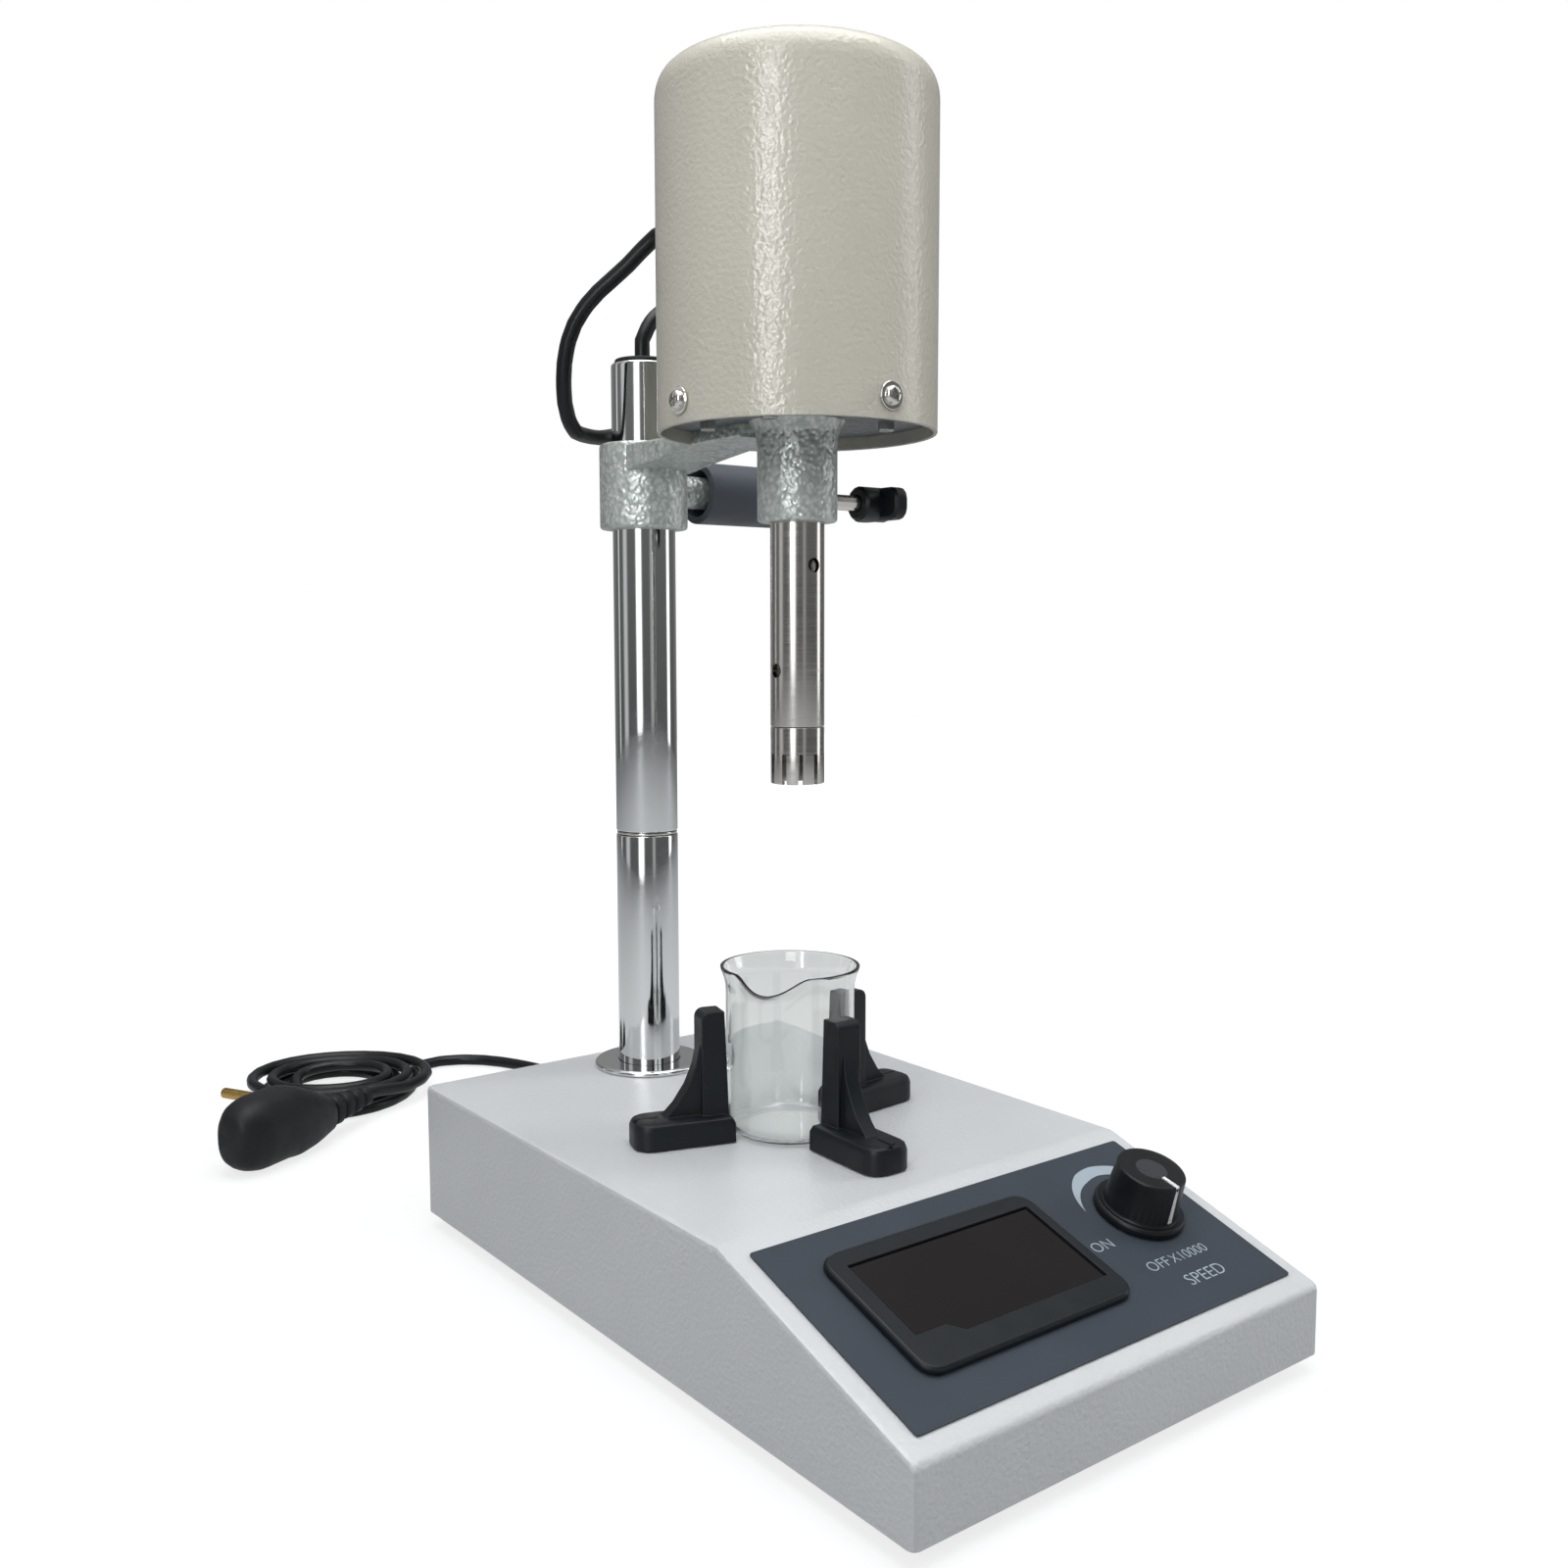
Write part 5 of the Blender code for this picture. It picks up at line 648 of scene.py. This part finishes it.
def arm():
    """Build the casting: two collars, the tapered arm between them, the boss and the motor plate."""
    x, y = COLUMN
    collar = eased([(0.0128, 0.2760), (0.0175, 0.2760), (0.0175, 0.3095), (0.0128, 0.3095)],
                   [0.0005, 0.0016, 0.0016, 0.0005])
    nose = eased([(0.0098, 0.2730), (0.0140, 0.2730), (0.0140, 0.2990), (0.0146, 0.3040), (0.0170, 0.3077),
                  (0.0098, 0.3077)], [0.0005, 0.0014, 0.004, 0.004, 0, 0])
    plate = eased([(0.0115, 0.3075), (0.0467, 0.3075), (0.0467, 0.3135), (0.0115, 0.3135)],
                  [0, 0.0008, 0.0008, 0])
    boss = eased([(0, 0.0140), (0.0065, 0.0140), (0.0065, 0.0340), (0.0031, 0.0340), (0.0031, 0.0290), (0, 0.0290)],
                 [0, 0, 0.0008, 0.0003, 0, 0])
    station = np.array([0.0290, 0.0450, 0.0620, 0.0720, 0.0830, 0.0930, 0.0980, 0.1035])[:, None]
    low = np.interp(station, [0.062, 0.103], [0.303, 0.298])
    flare = 0.0145 + 0.0006 * np.cos(np.linspace(0, math.tau, 8))[:, None]
    section = eased([(-1, 0), (1, 0), (1, 1), (-1, 1)], 0.12, 5)
    across = section[None, :, 0] * flare
    height = low + (0.308 - low) * section[None, :, 1]
    bar = np.stack([across, station + np.zeros_like(across), height], axis=2)
    piece("cast_arm", [turned(collar, (x, y, 0), sides=112), turned(nose, (*DRIVE, 0), sides=96),
                       turned(boss, (0, y, 0.292), "X", 56), carried(bar)],
          LOOKS["casting"], "head", ("arm_casting",))
    # The plate wears painted shade: the casting paint darkened, as it lies in the shade of the cover's mouth.
    piece("motor_plate", [turned(plate, (*DRIVE, 0), sides=128)], PLATE_PAINT_IN_PAINTED_SHADE, "head")


def screw_shape(seat, washer=0.0046, head=0.0033):
    """Return a screw along X: a captive washer, and a pan head that falls off by a quarter circle."""
    share = np.linspace(0, 1, 9)
    dome = np.stack([head * np.cos(share * math.pi / 2) ** 0.6, seat + 0.0009 + 0.0021 * np.sin(share * math.pi / 2)],
                    axis=1)
    dome[-1, 0] = 0
    profile = np.concatenate([[(0, seat - 0.008), (0.0015, seat - 0.008), (0.0015, seat), (washer, seat),
                               (washer, seat + 0.0006), (washer - 0.0002, seat + 0.0008),
                               (head, seat + 0.0008)], dome])
    return turned(profile, axis="X", sides=48)


def motor_head():
    """Draw the deep cover, with its rolled mouth, and fit its screws and the bolts under its plate."""
    skin = eased([(0, 0.4225), (0.0470, 0.4225), (0.0470, 0.3030), (0.0485, 0.3030), (0.0485, 0.4240), (0, 0.4240)],
                 [0, 0.0100, 0.0005, 0.0005, 0.0115, 0], 16)
    cover = piece("drawn_cover", [turned(skin, (*DRIVE, 0), sides=192)], LOOKS["cream_paint"], "head",
                  ("motor_cover",), 30)
    for number, turn in enumerate((-90, 180, 0), 1):
        shape = screw_shape(0.0488)
        slot_cut = []
        for tilt in (20, 110):
            bar = eased([(-0.0023, -0.00035), (0.0023, -0.00035), (0.0023, 0.00035), (-0.0023, 0.00035)], 0.0001, 2)
            depth = np.array([0.0508, 0.0530])[:, None] + np.zeros((2, len(bar)))
            sections = np.stack([depth, np.tile(bar[:, 0], (2, 1)), np.tile(bar[:, 1], (2, 1))], axis=2)
            slot_cut.append(shifted(carried(sections), Matrix.Rotation(math.radians(tilt), 4, "X")))
        where = Matrix.Translation((*DRIVE, 0.3105)) @ Matrix.Rotation(math.radians(turn), 4, "Z")
        screw = piece(f"washer_screw_{number}", [shifted(shape, where)], LOOKS["steel"], "head",
                      (f"cover_screw_{number}",))
        carve(screw, [shifted(part, where) for part in slot_cut])
    bolts = []
    for turn in (35, 145, 215, 325):
        bolt = turned(eased([(0, 0.3044), (0.0030, 0.3044), (0.0030, 0.3076), (0, 0.3076)], [0, 0.0008, 0, 0]), sides=6)
        spot = Matrix.Rotation(math.radians(turn), 4, "Z") @ Matrix.Translation((0.031, 0, 0))
        bolts.append(shifted(bolt, Matrix.Translation((*DRIVE, 0)) @ spot))
    piece("motor_bolts", bolts, LOOKS["zinc"], "head")
    return cover


def tool():
    """Turn the stator tube and its slotted end, and drill the side holes."""
    place = (*DRIVE, 0)
    tube = piece("stator_tube", [turned(eased([(0.0077, 0.2020), (0.0095, 0.2020), (0.0095, 0.3035), (0.0077, 0.3035)],
                                              [0, 0.00025, 0.0003, 0], 4), place, sides=128)],
                 LOOKS["steel"], "head", ("generator_tube",))
    drill = [(0, -0.0115), (0.0025, -0.0115), (0.0025, 0.0115), (0, 0.0115)]
    carve(tube, [turned(drill, (DRIVE[0], DRIVE[1], 0.258), "Y", 40), turned(drill, (*DRIVE, 0.2216), "X", 40)])
    end = piece("stator_end", [turned(eased([(0.0077, 0.1817), (0.0095, 0.1817), (0.0095, 0.2017), (0.0077, 0.2017)],
                                            [0.0002, 0.0005, 0.0002, 0], 4), place, sides=128)],
                LOOKS["steel"], "head", ("generator_head",))
    slots = []
    for number in range(10):
        tooth = eased([(0.0062, -0.00085), (0.0110, -0.00085), (0.0110, 0.00085), (0.0062, 0.00085)], 0.0001, 1)
        height = np.array([0.1797, 0.1924])[:, None] + np.zeros((2, len(tooth)))
        sections = np.stack([np.tile(tooth[:, 0], (2, 1)), np.tile(tooth[:, 1], (2, 1)), height], axis=2)
        turn = Matrix.Translation(place) @ Matrix.Rotation(math.radians(-13 + 36 * number), 4, "Z")
        slots.append(shifted(carried(sections), turn))
    carve(end, slots)


def knobs():
    """Turn the grey lock knob, moulded on its stud, and dress the wing knob."""
    grip = eased([(0, 0.0128), (0.0030, 0.0128), (0.0030, 0.0396), (0.0095, 0.0396), (0.0095, 0.0256),
                  (0.0125, 0.0256), (0.0125, 0.0675), (0, 0.0675)],
                 [0, 0.0003, 0, 0, 0.0004, 0.0006, 0.0022, 0], 8)
    piece("moulded_lock_knob", [turned(grip, (0, COLUMN[1], 0.292), "X", 112)], LOOKS["grey_plastic"],
          "column_lock", ("lock_knob",))
    redressed("wing_knob", NYLON, "tool_clamp", 0.0005, 2)


# Jaws and beaker


def jaws():
    """Round the edges of the three jaws."""
    for side in ("left", "front", "right"):
        redressed(f"jaw_{side}", NYLON, f"{side}_jaw", 0.0005, 3)


def glass_beaker():
    """Turn the beaker's wall and draw its spout: the rim moves out and down by a raised cosine."""
    wall = eased([(0, 0), (0.0230, 0), (0.0230, 0.0437), (0.0230, 0.0537), (0.0249, 0.0590), (0.0249, 0.0597),
                  (0.0237, 0.0597), (0.0217, 0.0537), (0.0217, 0.0437), (0.0217, 0.0013), (0, 0.0013)],
                 [0, 0.0055, 0, 0.004, 0.001, 0.0004, 0.0004, 0.004, 0, 0.0045, 0], 8)
    steps = [wall[:1]]
    for first, second in zip(wall, wall[1:]):
        count = max(1, round(float(np.linalg.norm(second - first)) / 0.0025))
        steps.append(first + (second - first) * (np.arange(1, count + 1) / count)[:, None])
    points, faces = turned(np.concatenate(steps), sides=144)
    angle = np.degrees(np.arctan2(points[:, 1], points[:, 0])) + 145
    away = np.abs((angle + 180) % 360 - 180)
    lift = np.clip((points[:, 2] - 0.0437) / 0.016, 0, None)
    share = np.where(away < 35, lift ** 2 * np.cos(math.pi / 2 * np.minimum(away, 35) / 35) ** 2, 0)
    reach = np.maximum(np.hypot(points[:, 0], points[:, 1]), 0.000001)
    points[:, :2] *= ((reach + 0.0045 * share) / reach)[:, None]
    points[:, 2] -= 0.005 * share
    points += np.array([*BEAKER, BASE_TOP + CLEAR])
    piece("spouted_beaker", [(points, faces)], LOOKS["glass"], "vessel", ("beaker",), 60)


# Plug on the mains lead


def squared(value):
    """Push a cosine or sine out towards the corners of a square."""
    return np.sign(value) * np.abs(value) ** 0.8


def mains_plug():
    """Carry a squared oval along the plug: ribbed relief first, then the body, angled to its pins."""
    relief_x, radius_at = [], []
    for rib in range(4):
        radius = 0.0046 + 0.0034 * rib / 4
        start = rib * 0.0075
        relief_x += [start, start + 0.0004, start + 0.0035, start + 0.0041, start + 0.0046, start + 0.0070]
        radius_at += [radius - 0.0004, radius, radius, radius - 0.0004, radius - 0.0012, radius - 0.0012]
    relief_x, radius_at = np.array(relief_x), np.array(radius_at)
    share = np.linspace(0, 1, 40)
    across = 0.013 * np.interp(share, [0, 0.2, 0.4, 0.8, 0.95, 1], [0.66, 0.90, 1, 1, 0.80, 0.50])
    up = 0.0165 * np.interp(share, [0, 0.2, 0.4, 0.8, 0.95, 1], [0.52, 0.80, 1, 1, 0.84, 0.55])
    ease = np.ones(5) / 5
    across[2:-2], up[2:-2] = np.convolve(across, ease, "valid"), np.convolve(up, ease, "valid")
    middle = 0.0168
    centre = 0.0125 + (middle - 0.0125) * np.minimum(1, 2 * share)
    station = np.concatenate([relief_x, 0.030 + 0.058 * share])
    half_y = np.concatenate([radius_at, across])
    half_z = np.concatenate([radius_at, up])
    centre = np.concatenate([np.full(len(relief_x), 0.0125), centre])
    angle = (np.arange(48) + 0.5) * math.tau / 48
    sections = np.stack([station[:, None] + np.zeros(48), half_y[:, None] * squared(np.cos(angle)),
                         centre[:, None] + half_z[:, None] * squared(np.sin(angle))], axis=2)
    where = Matrix.Translation((PLUG_TIP[0], PLUG_TIP[1], 0)) @ Matrix.Rotation(PLUG_TURN, 4, "Z")
    body = piece("moulded_plug", [shifted(carried(sections), where)], LOOKS["rubber"], "base",
                 ("mains_plug",))
    pins = []
    for number, side in enumerate((-1, 1), 1):
        pin = eased([(0, -0.032), (0.0024, -0.032), (0.0024, -0.0053), (0, -0.0053)], [0, 0.0018, 0, 0], 6)
        shape = turned(pin, (0.030 + 0.029, 0, middle + side * 0.0095), "Y", 32)
        pins.append(piece(f"brass_pin_{number}", [shifted(shape, where)], LOOKS["brass"], "base",
                          (f"plug_pin_{number}",)))
    return body, pins


def inner_nodes():
    """Give every CAD node that still shows the finish of its slot."""
    special = {"stator_core": LAMINATIONS, "armature": LAMINATIONS}
    for entry in frame["record"]["subparts"]:
        node = frame["nodes"].get(entry["node"])
        if node is None:
            continue
        node.data.materials.clear()
        node.data.materials.append(special.get(entry["node"], LOOKS[entry["material_slot"]]))


# Studio


def camera():
    """Stand the camera where the photograph was taken from."""
    data = bpy.data.cameras.new("camera")
    data.sensor_width, data.lens, data.clip_start = 36, 34.53, 0.01
    made = bpy.data.objects.new("camera", data)
    made.location = (-0.3273, -0.4042, 0.2339)
    made.rotation_euler = [math.radians(turn) for turn in (84.353, 0.086, -37.475)]
    bpy.context.scene.collection.objects.link(made)
    bpy.context.scene.camera = made


def lamp(name, place, aim, width, height, power, mirrored=True, spread=180):
    """Hang a soft rectangular lamp and turn it to its aim; metal shows it unless it isn't mirrored."""
    data = bpy.data.lights.new(name, "AREA")
    data.shape, data.size, data.size_y, data.energy = "RECTANGLE", width, height, power
    data.spread = math.radians(spread)
    made = bpy.data.objects.new(name, data)
    way = np.asarray(aim, float) - np.asarray(place, float)
    flat = math.hypot(way[0], way[1])
    made.visible_glossy = mirrored
    made.location = place
    made.rotation_euler = (math.atan2(flat, -way[2]), 0, math.atan2(-way[0], way[1]))
    bpy.context.scene.collection.objects.link(made)


def room():
    """Stand a dim round room that only reflections see; its windows are bright bands by bearing."""
    turn = np.linspace(0, math.tau, 181)[:-1]
    height = np.array([-0.05, 0.1, 0.35, 0.7, 1.1, 1.6, 1.9])
    bearing = np.degrees(turn)[None, :] + np.zeros((7, 1))
    high = height[:, None] + np.zeros((1, 180))
    light = 0.10 + 0.10 * np.clip(high / 1.2, 0, 1)
    for centre, half, power in ((213, 10, 2.4), (158, 9, 0.5), (126, 3, 0.8), (336, 7, 2.2), (262, 6, 0.3),
                                (60, 40, 0.12)):
        away = np.abs((bearing - centre + 180) % 360 - 180)
        light = light + power * np.exp(-(away / half) ** 4)
    light = np.where(high > 1.5, light + 0.15, light)
    radius = np.where(high > 1.5, 1.3, 1.9)
    points = np.stack([radius * np.cos(turn), radius * np.sin(turn), high], axis=2).reshape(-1, 3)
    mesh = bpy.data.meshes.new("reflected_room")
    mesh.from_pydata(points.tolist(), [], quads(7, 180).tolist())
    level = mesh.attributes.new("level", "FLOAT", "POINT")
    level.data.foreach_set("value", light.ravel().astype(np.float32))
    look = finish("room_light", "#000000", 1.0)
    tree = look.node_tree
    shader = tree.nodes["Principled BSDF"]
    bright = put(tree, "ShaderNodeAttribute", {"attribute_name": "level"})
    shader.inputs["Emission Color"].default_value = (1, 1, 1, 1)
    tree.links.new(bright.outputs["Fac"], shader.inputs["Emission Strength"])
    mesh.materials.append(look)
    made = bpy.data.objects.new("reflected_room", mesh)
    bpy.context.scene.collection.objects.link(made)
    made.visible_camera = made.visible_diffuse = made.visible_shadow = False
    made.visible_transmission = False


def seen(tree):
    """Return a value that is one for rays that the camera, gloss or glass sends."""
    path = put(tree, "ShaderNodeLightPath")
    first = put(tree, "ShaderNodeMath", {"operation": "MAXIMUM"},
                links={0: path.outputs["Is Camera Ray"], 1: path.outputs["Is Glossy Ray"]})
    return put(tree, "ShaderNodeMath", {"operation": "MAXIMUM"},
               links={0: first.outputs[0], 1: path.outputs["Is Transmission Ray"]}).outputs[0]


def studio():
    """Lay the pale floor, light the room softly and make its background white.

    The floor's glow grows with the distance for the camera and fades with it for reflections.
    """
    bpy.context.scene.view_settings.view_transform = "Standard"
    side = np.linspace(-2.4, 2.4, 49)
    x, y = np.meshgrid(side, side, indexing="ij")
    mesh = bpy.data.meshes.new("floor")
    mesh.from_pydata(np.stack([x.ravel(), y.ravel(), np.full(x.size, -0.0001)], 1).tolist(), [],
                     quads(49, 49, wrap_columns=False).tolist())
    away = np.clip((np.hypot(x, y) - 0.35) / 1.2, 0, 1)
    level = mesh.attributes.new("level", "FLOAT", "POINT")
    level.data.foreach_set("value", (0.76 + 0.34 * away).ravel().astype(np.float32))
    near = mesh.attributes.new("near", "FLOAT", "POINT")
    near.data.foreach_set("value", (0.45 - 0.35 * away).ravel().astype(np.float32))
    floor_look = finish("pale_studio_floor", "#888a8c", 0.85)
    tree = floor_look.node_tree
    shader = tree.nodes["Principled BSDF"]
    direct, mirrored = (put(tree, "ShaderNodeAttribute", {"attribute_name": name}) for name in ("level", "near"))
    path = put(tree, "ShaderNodeLightPath")
    share = put(tree, "ShaderNodeMix", {"data_type": "FLOAT"}, links={
        "Factor": path.outputs["Is Glossy Ray"], "A": direct.outputs["Fac"], "B": mirrored.outputs["Fac"]})
    glow = put(tree, "ShaderNodeMath", {"operation": "MULTIPLY"}, links={0: seen(tree), 1: share.outputs["Result"]})
    shader.inputs["Emission Color"].default_value = (1, 1, 1, 1)
    tree.links.new(glow.outputs[0], shader.inputs["Emission Strength"])
    mesh.materials.append(floor_look)
    floor = bpy.data.objects.new("floor", mesh)
    bpy.context.scene.collection.objects.link(floor)
    world = bpy.data.worlds.new("studio")
    bpy.context.scene.world = world
    world.use_nodes = True
    tree = world.node_tree
    dim = tree.nodes["Background"]
    dim.inputs["Color"].default_value = (1, 1, 1, 1)
    dim.inputs["Strength"].default_value = 0.22
    white = put(tree, "ShaderNodeBackground", values={"Strength": 1.0, "Color": (1, 1, 1, 1)})
    mix = put(tree, "ShaderNodeMixShader", links={0: seen(tree), 1: dim.outputs[0], 2: white.outputs[0]})
    tree.links.new(mix.outputs[0], tree.nodes["World Output"].inputs["Surface"])
    lamp("ceiling", (-0.1, -0.1, 1.5), (0, 0, 0.1), 1.3, 1.3, 17)
    lamp("window", (-1.25, -0.70, 0.75), (0, 0, 0.36), 0.11, 1.0, 5.5)
    lamp("far_window", (1.3, -0.55, 0.75), (0, 0, 0.36), 0.4, 1.0, 6.5, False)
    lamp("head_fill", (-0.9, -1.1, 0.95), (0, 0, 0.46), 0.5, 0.4, 0.22, False, 34)
    room()


camera()
lead, lead_path = mains_lead()
cable, cable_path = motor_lead()
base_housing()
panel()
knob()
column()
arm()
motor_head()
tool()
knobs()
jaws()
glass_beaker()
plug_body, plug_pins = mains_plug()
inner_nodes()
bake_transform(cable)
studio()
